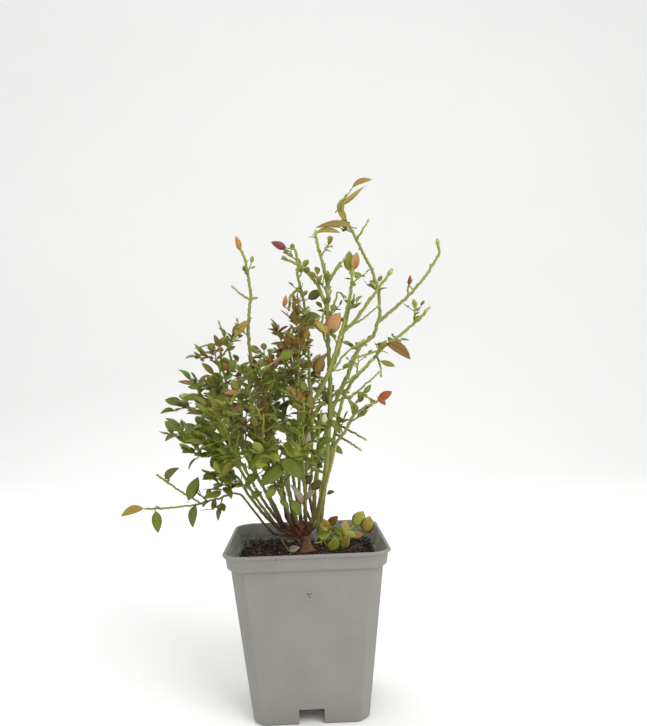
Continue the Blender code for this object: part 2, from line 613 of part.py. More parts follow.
def twig_from(stem, share, turn, length, rng):
    """A side twig that leaves its stem at an angle and bends up towards the light."""
    root, way = at_share(stem, share)
    out = across(way, turn)
    lean = math.radians(rng.uniform(48, 66))
    heading = way * math.cos(lean) + out * math.sin(lean)
    if length < BENT_TWIG:
        return [root, root + (heading + Vector((0, 0, 0.2))).normalized() * length]
    middle = root + heading * length * 0.5
    tip = middle + (heading + Vector((0, 0, 0.45))).normalized() * length * 0.5
    return [root, middle, tip]


def leaf_at(path, share, turn, length, rng):
    """Root, tip, facing and width of a leaf that stands off a twig and lifts its face to the sky."""
    root, way = at_share(path, share)
    out = across(way, turn)
    heading = (way * 0.55 + out * 0.8 + Vector((0, 0, rng.uniform(-0.15, 0.25)))).normalized()
    face = Vector((rng.uniform(-0.5, 0.5), rng.uniform(-0.7, 0.3), 1.0))
    return root, root + heading * length, face, LEAF_WIDE


def grow(name, mass, spaces):
    """The stems, twigs and leaves of one mass. What would leave its space is skipped."""
    rng = random.Random(mass["seed"])
    stems = mass_stems(name, mass)
    twigs = []
    for number in range(mass["twigs"]):
        share = 0.10 + 0.86 * (number + 0.5) / mass["twigs"]
        turn = number * GOLDEN_TURN + mass["seed"]
        length = mass["reach"] * (1.0 - 0.35 * share) * rng.uniform(0.85, 1.10)
        for trim in (1.0, 0.75, 0.5):
            twig = twig_from(stems[0], share, turn, length * trim, rng)
            if all(spaces.holds(name, point) for point, _ in marks_along(twig, 0, 0)[3:]):
                twigs.append(twig)
                break
    blades = []
    for carrier in stems + twigs:
        length = sum((b - a).length for a, b in zip(carrier, carrier[1:]))
        begin = 0.30 if carrier in twigs else 0.45
        bare = mass["twigs"] < BARE_TWIGS and carrier not in twigs
        count = max(1, round(length * (1 - begin) / (BARE_SPACING if bare else LEAF_SPACING)))
        for number in range(count):
            share = begin + (1 - begin) * (number + 0.5) / count
            turn = number * math.pi + rng.uniform(-0.6, 0.6)
            size = mass["leaf"] * rng.uniform(0.75, 1.10)
            blades.append(leaf_at(carrier, share, turn, size, rng))
        if carrier in twigs:
            root, way = at_share(carrier, 0.96)
            tip = root + (way + Vector((0, 0, 0.15))).normalized() * mass["leaf"] * rng.uniform(0.8, 1.0)
            blades.append((root, tip, TIP_FACE, LEAF_WIDE))
    blades = [blade for blade in blades
              if all(spaces.holds(name, point) for point in leaf_points(*blade)[1:])]
    for root, tip, wide in mass.get("blades", []):
        blades.append((Vector(root), Vector(tip), OUTLINE_FACE, wide))
    return stems, twigs, blades


def build_mass(name, mass, spaces, material):
    stems, twigs, blades = grow(name, mass, spaces)
    radius = CREEPER_RADIUS if name == "creeper" else BOUGHS[name]["radii"][1]
    bm = bmesh.new()
    tube(bm, stems[0], radius, STEM_TIP_RADIUS, TWIG_SIDES)
    body = object_from(bm, name + "_foliage", material)
    shapes = []
    sides = [(shoot, radius * SHOOT_SHARE) for shoot in stems[1:]]
    sides += [(twig, TWIG_ROOT_RADIUS) for twig in twigs]
    for path, first in sides:
        bm = bmesh.new()
        tube(bm, path, first, TWIG_TIP_RADIUS, TWIG_SIDES)
        shapes.append(object_from(bm, "twig"))
    for root, tip, face, wide in blades:
        sunk = root - (tip - root).normalized() * ROOT_SINK
        bm = bmesh.new()
        leaf(bm, leaf_points(sunk, tip, face, wide))
        shapes.append(object_from(bm, "leaf"))
    fuse(body, shapes)


def main():
    clear_scene()
    bark = make_material("crown_bark", (0.16, 0.065, 0.035), 0.85)
    stem = make_material("green_stem", (0.17, 0.19, 0.05), 0.6)
    foliage = make_material("leaf_green", (0.13, 0.17, 0.03), 0.5)
    build_pot(make_material("pot_grey", (0.32, 0.31, 0.285), 0.5))
    build_soil(make_material("peat", (0.018, 0.011, 0.008), 0.95))
    build_trunk(bark)
    limbs = {}
    for name, bough in BOUGHS.items():
        path = bough_path(bough)
        bm = bmesh.new()
        tube(bm, path, *bough["radii"], BOUGH_SIDES)
        object_from(bm, name + "_bough", stem)
        limbs[name] = marks_along(path, *bough["radii"])
    masses = dict(MASSES, creeper=CREEPER)
    stems = {name: [mark for path in mass_stems(name, mass) for mark in marks_along(path, 0, 0)]
             for name, mass in masses.items()}
    spaces = Spaces(limbs, stems)
    for name, mass in masses.items():
        build_mass(name, mass, spaces, foliage)


main()
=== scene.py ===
import math
import random

import bmesh
import bpy
from mathutils import Matrix, Vector, noise
from mathutils.kdtree import KDTree


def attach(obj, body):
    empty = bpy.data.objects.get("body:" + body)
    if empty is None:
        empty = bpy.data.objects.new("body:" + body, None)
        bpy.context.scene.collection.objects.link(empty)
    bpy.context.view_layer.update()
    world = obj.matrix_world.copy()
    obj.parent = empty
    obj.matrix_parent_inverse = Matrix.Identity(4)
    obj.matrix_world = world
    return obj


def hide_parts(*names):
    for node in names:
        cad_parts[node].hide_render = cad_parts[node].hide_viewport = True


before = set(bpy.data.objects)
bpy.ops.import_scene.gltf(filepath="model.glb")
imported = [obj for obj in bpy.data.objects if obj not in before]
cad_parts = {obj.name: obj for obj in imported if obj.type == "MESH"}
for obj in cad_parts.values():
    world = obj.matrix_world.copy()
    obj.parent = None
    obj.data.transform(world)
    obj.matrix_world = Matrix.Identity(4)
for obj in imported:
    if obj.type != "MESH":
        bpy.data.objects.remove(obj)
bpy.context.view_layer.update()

# Pot: a 9 cm square nursery pot, 95 mm tall
POT_HEIGHT = 0.095
RIM_HALF = 0.045
RIM_BAND = 0.0095
BODY_TOP_HALF = 0.0408
BODY_FOOT_HALF = 0.0316
CORNER_TOP = 0.0075
CORNER_FOOT = 0.0055
RIM_CORNER = 0.0105
WALL = 0.0012
FLOOR_THICK = 0.0014
NOTCH_WIDE = 0.0137
NOTCH_HIGH = 0.0084
NOTCH_DEEP = 0.018
CUT_PAST = 0.004
CORNER_STEPS = 9

# Soil
SOIL_TOP = 0.0840
SOIL_MOUND = 0.0016
GAP = 0.0003

# Trunk: the woody crown that all the stems rise from
TRUNK_FOOT = Vector((0.0, 0.008, SOIL_TOP + GAP))
TRUNK_FLARE = 0.0052
CROWN = Vector((-0.0028, 0.0085, 0.0930))
CROWN_REACH = Vector((0.0135, 0.0095, 0.0100))

# Growth
GOLDEN_TURN = math.radians(137.5)
STEP = 0.011
LEAF_WIDE = 0.62
LEAF_WIDEST = 0.48
LEAF_THICK = 0.07
LEAF_LEAST_THICK = 0.0005
TIP_FACE = Vector((0.2, -0.4, 1.0))
OUTLINE_FACE = Vector((0.1, -0.8, 0.6))
LEAF_SPACING = 0.0078
BARE_SPACING = 0.0255
BARE_TWIGS = 5
BENT_TWIG = 0.013
LIMB_CLEAR = 0.0006
SPACE_CLEAR = 0.0005
RIM_CLEAR = POT_HEIGHT + 0.003
WALL_CLEAR = 0.003
SOIL_CLEAR = SOIL_TOP + 0.0015

# Each bough leaves the crown at an azimuth (0 is +X, 90 is the back) and a lean from upright, in
# degrees, and runs through the given points. Radii are at its foot and at its tip.
BOUGHS = {
    "left_runner": dict(turn=186, lean=80, radii=(0.0007, 0.0006), path=[
        (-0.0255, 0.005, 0.1030), (-0.0375, 0.001, 0.1205), (-0.0415, 0.000, 0.1218)]),
    "left_low": dict(turn=172, lean=62, radii=(0.0010, 0.0008), path=[
        (-0.0255, 0.007, 0.1080), (-0.0325, 0.005, 0.1180)]),
    "left_mid": dict(turn=146, lean=60, radii=(0.0010, 0.0008), path=[
        (-0.0230, 0.016, 0.1100), (-0.0305, 0.018, 0.1220)]),
    "left_top": dict(turn=196, lean=44, radii=(0.0010, 0.0008), path=[
        (-0.0185, 0.005, 0.1130), (-0.0265, 0.001, 0.1280)]),
    "left_inner": dict(turn=222, lean=28, radii=(0.0009, 0.0007), path=[
        (-0.0130, 0.001, 0.1160), (-0.0180, -0.004, 0.1290)]),
    "left_tall": dict(turn=176, lean=30, radii=(0.0011, 0.0008), path=[
        (-0.0145, 0.009, 0.1300), (-0.0240, 0.008, 0.1640), (-0.0280, 0.005, 0.1890)]),
    "front_left": dict(turn=214, lean=64, radii=(0.0009, 0.0007), path=[
        (-0.0215, -0.008, 0.1100), (-0.0280, -0.015, 0.1210)]),
    "front_centre": dict(turn=244, lean=50, radii=(0.0009, 0.0007), path=[
        (-0.0100, -0.004, 0.1090), (-0.0125, -0.010, 0.1190)]),
    "front_right": dict(turn=282, lean=52, radii=(0.0009, 0.0007), path=[
        (-0.0005, -0.006, 0.1120), (0.0000, -0.014, 0.1250)]),
    "centre_mid": dict(turn=120, lean=36, radii=(0.0010, 0.0008), path=[
        (-0.0100, 0.015, 0.1180), (-0.0130, 0.017, 0.1290)]),
    "centre_top": dict(turn=262, lean=12, radii=(0.0010, 0.0008), path=[
        (-0.0035, 0.005, 0.1200), (-0.0030, 0.003, 0.1370)]),
    "centre_shoot": dict(turn=70, lean=22, radii=(0.0010, 0.0007), path=[
        (0.0010, 0.015, 0.1320), (0.0045, 0.012, 0.1740), (0.0045, 0.009, 0.2160)]),
    "right_pale": dict(turn=332, lean=30, radii=(0.0014, 0.0011), path=[
        (0.0080, 0.003, 0.1110), (0.0125, 0.000, 0.1335), (0.0150, -0.002, 0.1580)]),
    "right_green": dict(turn=248, lean=27, radii=(0.0011, 0.0010), path=[
        (-0.0095, -0.001, 0.1230), (-0.0090, -0.006, 0.1480), (0.0080, -0.010, 0.1760)]),
    "right_long": dict(turn=20, lean=28, radii=(0.0012, 0.0010), path=[
        (0.0055, 0.010, 0.1200), (0.0105, 0.011, 0.1440), (0.0190, 0.012, 0.1710)]),
    "right_tip": dict(turn=355, lean=44, radii=(0.0010, 0.0008), path=[
        (0.0125, 0.006, 0.1270), (0.0190, 0.003, 0.1560), (0.0240, 0.001, 0.1760)]),
    "right_low": dict(turn=312, lean=50, radii=(0.0009, 0.0007), path=[
        (0.0105, -0.004, 0.1200), (0.0155, -0.009, 0.1380), (0.0180, -0.012, 0.1490)]),
    "back_left": dict(turn=134, lean=70, radii=(0.0011, 0.0008), path=[
        (-0.0200, 0.024, 0.1080), (-0.0290, 0.033, 0.1250)]),
    "back_top": dict(turn=92, lean=40, radii=(0.0011, 0.0008), path=[
        (-0.0065, 0.021, 0.1210), (-0.0090, 0.026, 0.1420)]),
    "back_centre": dict(turn=112, lean=66, radii=(0.0010, 0.0008), path=[
        (-0.0120, 0.025, 0.1080), (-0.0165, 0.035, 0.1220)]),
    "back_right": dict(turn=54, lean=46, radii=(0.0010, 0.0008), path=[
        (0.0025, 0.020, 0.1150), (0.0045, 0.027, 0.1310)]),
    "back_low": dict(turn=66, lean=74, radii=(0.0009, 0.0007), path=[
        (0.0000, 0.026, 0.1060), (-0.0005, 0.035, 0.1160)]),
}

# Each mass carries on from its bough along a path. shoots are side stems with a shape of their own:
# the first point is where they leave the stem. blades are single leaves or buds that shape the
# outline, from root to tip, with the width as a share of the length. twigs is how many side twigs
# the seeded rule sets, reach their length, and leaf the length of a leaf.
MASSES = {
    "left_runner": dict(seed=11, twigs=2, reach=0.008, leaf=0.0090, path=[
        (-0.0505, -0.002, 0.1190), (-0.0615, -0.005, 0.1170)], shoots=[
        [(-0.0600, -0.005, 0.1170), (-0.0735, -0.008, 0.1270), (-0.0835, -0.011, 0.1355)],
        [(-0.0610, -0.005, 0.1168), (-0.0780, -0.004, 0.1150), (-0.0910, -0.006, 0.1155)]], blades=[
        [(-0.0910, -0.006, 0.1155), (-0.1055, -0.007, 0.1120), 0.36],
        [(-0.0770, -0.005, 0.1240), (-0.0720, -0.010, 0.1400), 0.55],
        [(-0.0840, -0.005, 0.1152), (-0.0820, -0.008, 0.1020), 0.60],
        [(-0.0640, -0.005, 0.1185), (-0.0605, -0.010, 0.1330), 0.55],
        [(-0.0630, -0.005, 0.1160), (-0.0640, -0.009, 0.1040), 0.60]]),
    "left_low": dict(seed=12, twigs=9, reach=0.021, leaf=0.0120, path=[
        (-0.0390, 0.003, 0.1300), (-0.0480, -0.003, 0.1400), (-0.0560, -0.008, 0.1500),
        (-0.0640, -0.012, 0.1600)]),
    "left_mid": dict(seed=13, twigs=9, reach=0.022, leaf=0.0120, path=[
        (-0.0375, 0.019, 0.1350), (-0.0480, 0.018, 0.1520), (-0.0580, 0.016, 0.1690),
        (-0.0670, 0.016, 0.1800)]),
    "left_top": dict(seed=14, twigs=11, reach=0.021, leaf=0.0115, path=[
        (-0.0350, -0.003, 0.1460), (-0.0395, -0.006, 0.1650), (-0.0430, -0.008, 0.1850),
        (-0.0460, -0.010, 0.2070)], blades=[
        [(-0.0460, -0.010, 0.2065), (-0.0500, -0.012, 0.2180), 0.42],
        [(-0.0460, -0.010, 0.2060), (-0.0415, -0.007, 0.2150), 0.45]]),
    "left_inner": dict(seed=15, twigs=10, reach=0.020, leaf=0.0120, path=[
        (-0.0235, -0.010, 0.1450), (-0.0270, -0.016, 0.1620), (-0.0290, -0.020, 0.1790),
        (-0.0250, -0.020, 0.1930)]),
    "left_tall": dict(seed=16, twigs=2, reach=0.007, leaf=0.0080, path=[
        (-0.0305, 0.002, 0.2150), (-0.0280, 0.000, 0.2360), (-0.0305, -0.001, 0.2570),
        (-0.0340, -0.002, 0.2650)], blades=[
        [(-0.0340, -0.002, 0.2645), (-0.0350, -0.003, 0.2715), 0.60],
        [(-0.0302, 0.001, 0.2210), (-0.0410, -0.004, 0.2110), 0.45]]),
    "front_left": dict(seed=17, twigs=10, reach=0.021, leaf=0.0120, path=[
        (-0.0325, -0.020, 0.1320), (-0.0385, -0.030, 0.1490), (-0.0410, -0.037, 0.1640),
        (-0.0405, -0.041, 0.1760)]),
    "front_centre": dict(seed=18, twigs=10, reach=0.020, leaf=0.0130, path=[
        (-0.0140, -0.014, 0.1260), (-0.0180, -0.024, 0.1420), (-0.0215, -0.033, 0.1550),
        (-0.0205, -0.038, 0.1680)]),
    "front_right": dict(seed=19, twigs=7, reach=0.016, leaf=0.0105, path=[
        (-0.0010, -0.026, 0.1450), (0.0000, -0.033, 0.1600), (0.0010, -0.036, 0.1740)]),
    "centre_mid": dict(seed=20, twigs=12, reach=0.022, leaf=0.0120, path=[
        (-0.0175, 0.019, 0.1475), (-0.0200, 0.020, 0.1660), (-0.0195, 0.020, 0.1850),
        (-0.0210, 0.018, 0.2020)]),
    "centre_top": dict(seed=21, twigs=13, reach=0.021, leaf=0.0120, path=[
        (-0.0028, 0.000, 0.1520), (-0.0025, -0.002, 0.1720), (-0.0020, -0.005, 0.1920),
        (-0.0010, -0.008, 0.2110), (0.0010, -0.009, 0.2230)], blades=[
        [(0.0010, -0.009, 0.2190), (0.0150, -0.014, 0.2230), 0.62]]),
    "centre_shoot": dict(seed=22, twigs=4, reach=0.012, leaf=0.0080, path=[
        (0.0025, 0.007, 0.2340), (-0.0005, 0.006, 0.2475), (0.0000, 0.005, 0.2560),
        (-0.0015, 0.005, 0.2635)], shoots=[
        [(0.0010, 0.006, 0.2420), (-0.0055, 0.003, 0.2350), (-0.0060, 0.001, 0.2270)]], blades=[
        [(-0.0010, 0.005, 0.2630), (-0.0105, 0.003, 0.2650), 0.45]]),
    "right_pale": dict(seed=23, twigs=5, reach=0.013, leaf=0.0095, path=[
        (0.0165, -0.003, 0.1830), (0.0160, -0.004, 0.2060), (0.0160, -0.005, 0.2260),
        (0.0165, -0.006, 0.2415), (0.0125, -0.007, 0.2585), (0.0105, -0.008, 0.2700)], shoots=[
        [(0.0160, -0.005, 0.2270), (0.0110, -0.005, 0.2410), (0.0010, -0.003, 0.2530),
         (-0.0095, -0.003, 0.2570)],
        [(0.0165, -0.006, 0.2400), (0.0185, -0.009, 0.2440), (0.0240, -0.012, 0.2520)]], blades=[
        [(0.0105, -0.008, 0.2695), (0.0300, -0.010, 0.2715), 0.22]]),
    "right_green": dict(seed=24, twigs=4, reach=0.012, leaf=0.0095, path=[
        (0.0160, -0.012, 0.1910), (0.0215, -0.013, 0.2070), (0.0265, -0.014, 0.2235),
        (0.0300, -0.015, 0.2400), (0.0305, -0.015, 0.2480)], shoots=[
        [(0.0230, -0.013, 0.2110), (0.0315, -0.015, 0.2190), (0.0390, -0.016, 0.2290),
         (0.0460, -0.017, 0.2380), (0.0510, -0.018, 0.2440)]], blades=[
        [(0.0305, -0.015, 0.2470), (0.0305, -0.015, 0.2590), 0.55]]),
    "right_long": dict(seed=25, twigs=3, reach=0.010, leaf=0.0090, path=[
        (0.0285, 0.014, 0.1900), (0.0360, 0.015, 0.2060), (0.0445, 0.015, 0.2120),
        (0.0485, 0.014, 0.2245), (0.0480, 0.012, 0.2395), (0.0435, 0.010, 0.2525),
        (0.0370, 0.008, 0.2650), (0.0320, 0.006, 0.2750), (0.0270, 0.004, 0.2825),
        (0.0250, 0.004, 0.2890), (0.0300, 0.004, 0.2945)], shoots=[
        [(0.0475, 0.015, 0.2205), (0.0560, 0.017, 0.2270), (0.0700, 0.018, 0.2390),
         (0.0800, 0.019, 0.2510), (0.0872, 0.019, 0.2625), (0.0857, 0.019, 0.2700)]], blades=[
        [(0.0315, 0.006, 0.2758), (0.0240, 0.003, 0.2885), 0.30],
        [(0.0260, 0.004, 0.2905), (0.0420, 0.004, 0.3055), 0.32],
        [(0.0280, 0.004, 0.2925), (0.0446, 0.004, 0.3030), 0.22]]),
    "right_tip": dict(seed=26, twigs=4, reach=0.012, leaf=0.0100, path=[
        (0.0300, -0.001, 0.1855), (0.0385, -0.003, 0.1940), (0.0485, -0.005, 0.2045),
        (0.0575, -0.005, 0.2100), (0.0665, -0.006, 0.2175), (0.0735, -0.006, 0.2240)], blades=[
        [(0.0490, -0.005, 0.2048), (0.0632, -0.007, 0.1965), 0.30],
        [(0.0735, -0.006, 0.2235), (0.0775, -0.007, 0.2290), 0.50]]),
    "right_low": dict(seed=27, twigs=3, reach=0.011, leaf=0.0095, path=[
        (0.0240, -0.015, 0.1570), (0.0285, -0.017, 0.1660), (0.0265, -0.018, 0.1750)], shoots=[
        [(0.0285, -0.017, 0.1660), (0.0350, -0.018, 0.1700), (0.0420, -0.019, 0.1730)]], blades=[
        [(0.0415, -0.019, 0.1730), (0.0500, -0.020, 0.1760), 0.50]]),
    "back_left": dict(seed=28, twigs=9, reach=0.022, leaf=0.0120, path=[
        (-0.0370, 0.041, 0.1430), (-0.0430, 0.048, 0.1600), (-0.0470, 0.053, 0.1760),
        (-0.0450, 0.056, 0.1890)]),
    "back_top": dict(seed=29, twigs=9, reach=0.021, leaf=0.0115, path=[
        (-0.0110, 0.031, 0.1640), (-0.0115, 0.036, 0.1870), (-0.0080, 0.039, 0.2080),
        (-0.0040, 0.041, 0.2210)]),
    "back_centre": dict(seed=30, twigs=8, reach=0.020, leaf=0.0120, path=[
        (-0.0205, 0.044, 0.1360), (-0.0230, 0.051, 0.1500), (-0.0240, 0.057, 0.1650),
        (-0.0260, 0.061, 0.1770)]),
    "back_right": dict(seed=31, twigs=8, reach=0.018, leaf=0.0110, path=[
        (0.0055, 0.034, 0.1480), (0.0060, 0.040, 0.1660), (0.0060, 0.044, 0.1830),
        (0.0050, 0.046, 0.1950)]),
    "back_low": dict(seed=32, twigs=6, reach=0.016, leaf=0.0110, path=[
        (-0.0020, 0.045, 0.1270), (-0.0035, 0.053, 0.1390), (-0.0040, 0.058, 0.1510)]),
}

# The creeping shoot that lies over the soil on the right, with its round leaves
CREEPER = dict(seed=40, twigs=0, reach=0.0, leaf=0.0090, path=[
    (0.0080, 0.013, 0.0880), (0.0160, 0.018, 0.0895), (0.0240, 0.023, 0.0915), (0.0310, 0.027, 0.0945)],
    blades=[
    [(0.0160, 0.018, 0.0895), (0.0220, 0.010, 0.0900), 0.80],
    [(0.0230, 0.022, 0.0912), (0.0290, 0.014, 0.0925), 0.80],
    [(0.0090, 0.013, 0.0885), (0.0120, 0.021, 0.0985), 0.70],
    [(0.0240, 0.023, 0.0915), (0.0250, 0.031, 0.0985), 0.70],
    [(0.0305, 0.026, 0.0943), (0.0360, 0.028, 0.1035), 0.80]])
CREEPER_START = TRUNK_FOOT + Vector((0.0047, 0.0024, 0.0040))
CREEPER_STEP = 0.008
CREEPER_RADIUS = 0.0006

# Growth that is finer than the solids: twiglets on the twigs, leaves along both, and how they are drawn
TWIGLET_REACH = 0.0085
TWIGLET_SPACING = 0.0042
LEAF_EVERY = 0.0027
LEAF_LENGTH = (0.0056, 0.0100)
LEAF_WIDTHS = (0.50, 0.66)
LEAVES_BEGIN = 0.30
BLADE_SHARES = (0.60, 0.82)
BUD_SHARE = 0.25
TWIG_BUD = 0.0026
SHOOT_BUD = 0.0030
BUD_WIDE = 0.5
STALK_LEAST = 0.0006
STALK_SAG = Vector((0, 0, -0.0006))
TIP_NEARER = 2
BUD_FACE = Vector((0, 0, 1))
SEEN_BUD_FACE = Vector((0, -1, 0.3))
PLANT_SEED = 5
LITTER_SEED = 9
TUBE_STEP = 0.0014
KINK = 0.00035
BOUGH_STEP = 0.0012
BOUGH_KINK = 0.00018

# The thin limbs' radii at the foot and at the tip. A bough's are shares of its solid's radii, and a
# stem's foot takes its bough's tip, made a little stouter.
TWIG_RADII = (0.00056, 0.00036)
TWIGLET_RADII = (0.00032, 0.00024)
SHOOT_RADII = (0.00075, 0.00048)
LEAF_STALK_RADII = (0.00032, 0.00026)
BUD_STALK_RADII = (0.00045, 0.00040)
BROWN_SHARES = (1.08, 1.06)
PALE_SHARES = (1.08, 1.25)
STEM_TIP = 0.0006
SIDE_STEM_SHARE = 0.85
SHOOT_STOUT = 1.3
STEM_STOUT = 1.1

# How old the bark looks at the foot and at the tip: 0 is brown, 1 is green, and it is held beyond them
BROWN_AGES = (-0.25, 1.6)
PALE_AGES = (0.25, 1.0)
STEM_AGES = (0.5, 1.0)
TWIG_AGES = (0.6, 1.0)
TWIGLET_AGES = (0.8, 1.0)
STALK_AGES = (0.9, 1.0)
DRY_AGES = (0.1, 0.3)

# How much every fourth point of a limb swells, as at a leaf joint
BOUGH_KNOTS = 0.06
STEM_KNOTS = 0.12
TWIG_KNOTS = 0.15

# Boughs whose names begin so are green from low down and end in long shoots with few leaves
PALE_BOUGHS = ("right", "centre_shoot")
BARE_SHOOTS = ("left_tall", "right_tip")

# The other masses change with height: larger leaves below the first, redder and smaller above the second
LOW_LEAVES = 0.158
HIGH_LEAVES = 0.192

# Each leaf shape's fold at the rib, droop of the tip, curl of the edges and twist in radians
LEAF_FORMS = ((0.10, 0.10, 0.10, 0.0), (0.30, 0.22, 0.05, 0.25), (0.05, 0.30, 0.35, -0.2),
              (0.45, 0.05, 0.00, 0.1), (0.18, -0.12, 0.20, 0.4), (0.25, 0.40, 0.10, -0.45))

# A leaf shape is one unit long: its rows of points, its thickness, and the places along its stalk
LEAF_ROWS = 7
LEAF_THIN = 0.028
LEAF_STALK = (Vector((-0.14, 0, -0.05)), Vector((-0.05, 0, -0.025)), Vector((0.06, 0, 0.005)))

# The colours of leaves, dealt out by spray: upper face, edge and rib
LEAF_COLOURS = {
    "olive": ((0.150, 0.165, 0.020), (0.185, 0.13, 0.020), (0.25, 0.27, 0.05)),
    "green": ((0.140, 0.205, 0.020), (0.165, 0.17, 0.020), (0.25, 0.32, 0.06)),
    "fresh": ((0.250, 0.305, 0.030), (0.30, 0.27, 0.03), (0.39, 0.44, 0.10)),
    "golden": ((0.370, 0.300, 0.050), (0.36, 0.19, 0.04), (0.46, 0.42, 0.12)),
    "dark": ((0.085, 0.105, 0.015), (0.11, 0.080, 0.015), (0.15, 0.18, 0.03)),
    "bronze": ((0.210, 0.130, 0.028), (0.25, 0.09, 0.025), (0.32, 0.23, 0.06)),
    "red": ((0.290, 0.080, 0.024), (0.31, 0.055, 0.022), (0.38, 0.18, 0.06)),
    "peach": ((0.560, 0.330, 0.130), (0.60, 0.25, 0.12), (0.60, 0.46, 0.18)),
    "dry": ((0.480, 0.420, 0.310), (0.38, 0.29, 0.19), (0.55, 0.50, 0.40)),
}

# What each region of the bush takes: its mix of leaf colours, its leaves' size and how far apart they
# stand, both beside the common ones
REGIONS = {
    "dense": dict(size=1.12, apart=1.0, mix=(
        "olive", "olive", "green", "green", "green", "bronze", "olive", "fresh", "dark", "green")),
    "low": dict(size=1.35, apart=1.0, mix=(
        "green", "fresh", "olive", "green", "green", "fresh", "green")),
    "high": dict(size=1.0, apart=1.0, mix=(
        "olive", "bronze", "golden", "olive", "green", "green", "red", "olive", "green", "bronze")),
    "shoot": dict(size=0.75, apart=1.9, mix=("green", "fresh", "fresh", "green", "olive", "golden")),
    "runner": dict(size=0.9, apart=1.6, mix=("green", "olive", "green")),
    "bare": dict(size=0.5, apart=4.0, mix=("golden", "fresh", "green")),
}
BACK_LEAVES = (1.18, 0.80)
CREEPER_MIX = ("fresh", "golden", "fresh", "green")
TWIG_BUDS = ("bud_red", "bud_green", "bud_orange")

# The studio: a floor that sweeps up behind the plant, in metres
FLOOR_FRONT = -2.5
FLOOR_BACK = 0.9
FLOOR_HALF = 3.0
SWEEP_RADIUS = 0.6
SWEEP_STEPS = 8
BACKDROP_TOP = 3.0
FLOOR_GAP = 0.0002
LIGHTS_AIM = Vector((0, 0, 0.14))

# The finer pot: the bulge of its corner cuts and of its rim's corners, and its rounded edges
CUT_BULGE = 0.15
RIM_BULGE = 0.8
EDGE_ROUND = 0.0006
BODY_LEVELS = (0.015, 0.25, 0.5, 0.75, 0.985)

# The soil's surface, and what lies on it
SOIL_GRID = 90
SOIL_SKIRT = SOIL_TOP * 0.5
LITTER_CLEAR = 0.0012
LOOSE_CRUMBS = 2600
WALL_CRUMBS = 150
WALL_CRUMB_RISE = 0.006
WHITE_GRAINS = 16
FIBRES = 170
CRUMB_SHAPES = 4

# The photo's camera, in metres and degrees, and its frame in pixels
CAMERA_AT = Vector((0.0009, -0.387, 0.180))
CAMERA_YAW = math.radians(1.7)
CAMERA_DOWN = math.radians(0.84)
CAMERA_ROLL = math.radians(1.77)
FOCAL_PIXELS = 663.0
FRAME_PIXELS = (647, 726)
LENS_CENTRE = (323.5, 400.0)
SENSOR = 36.0

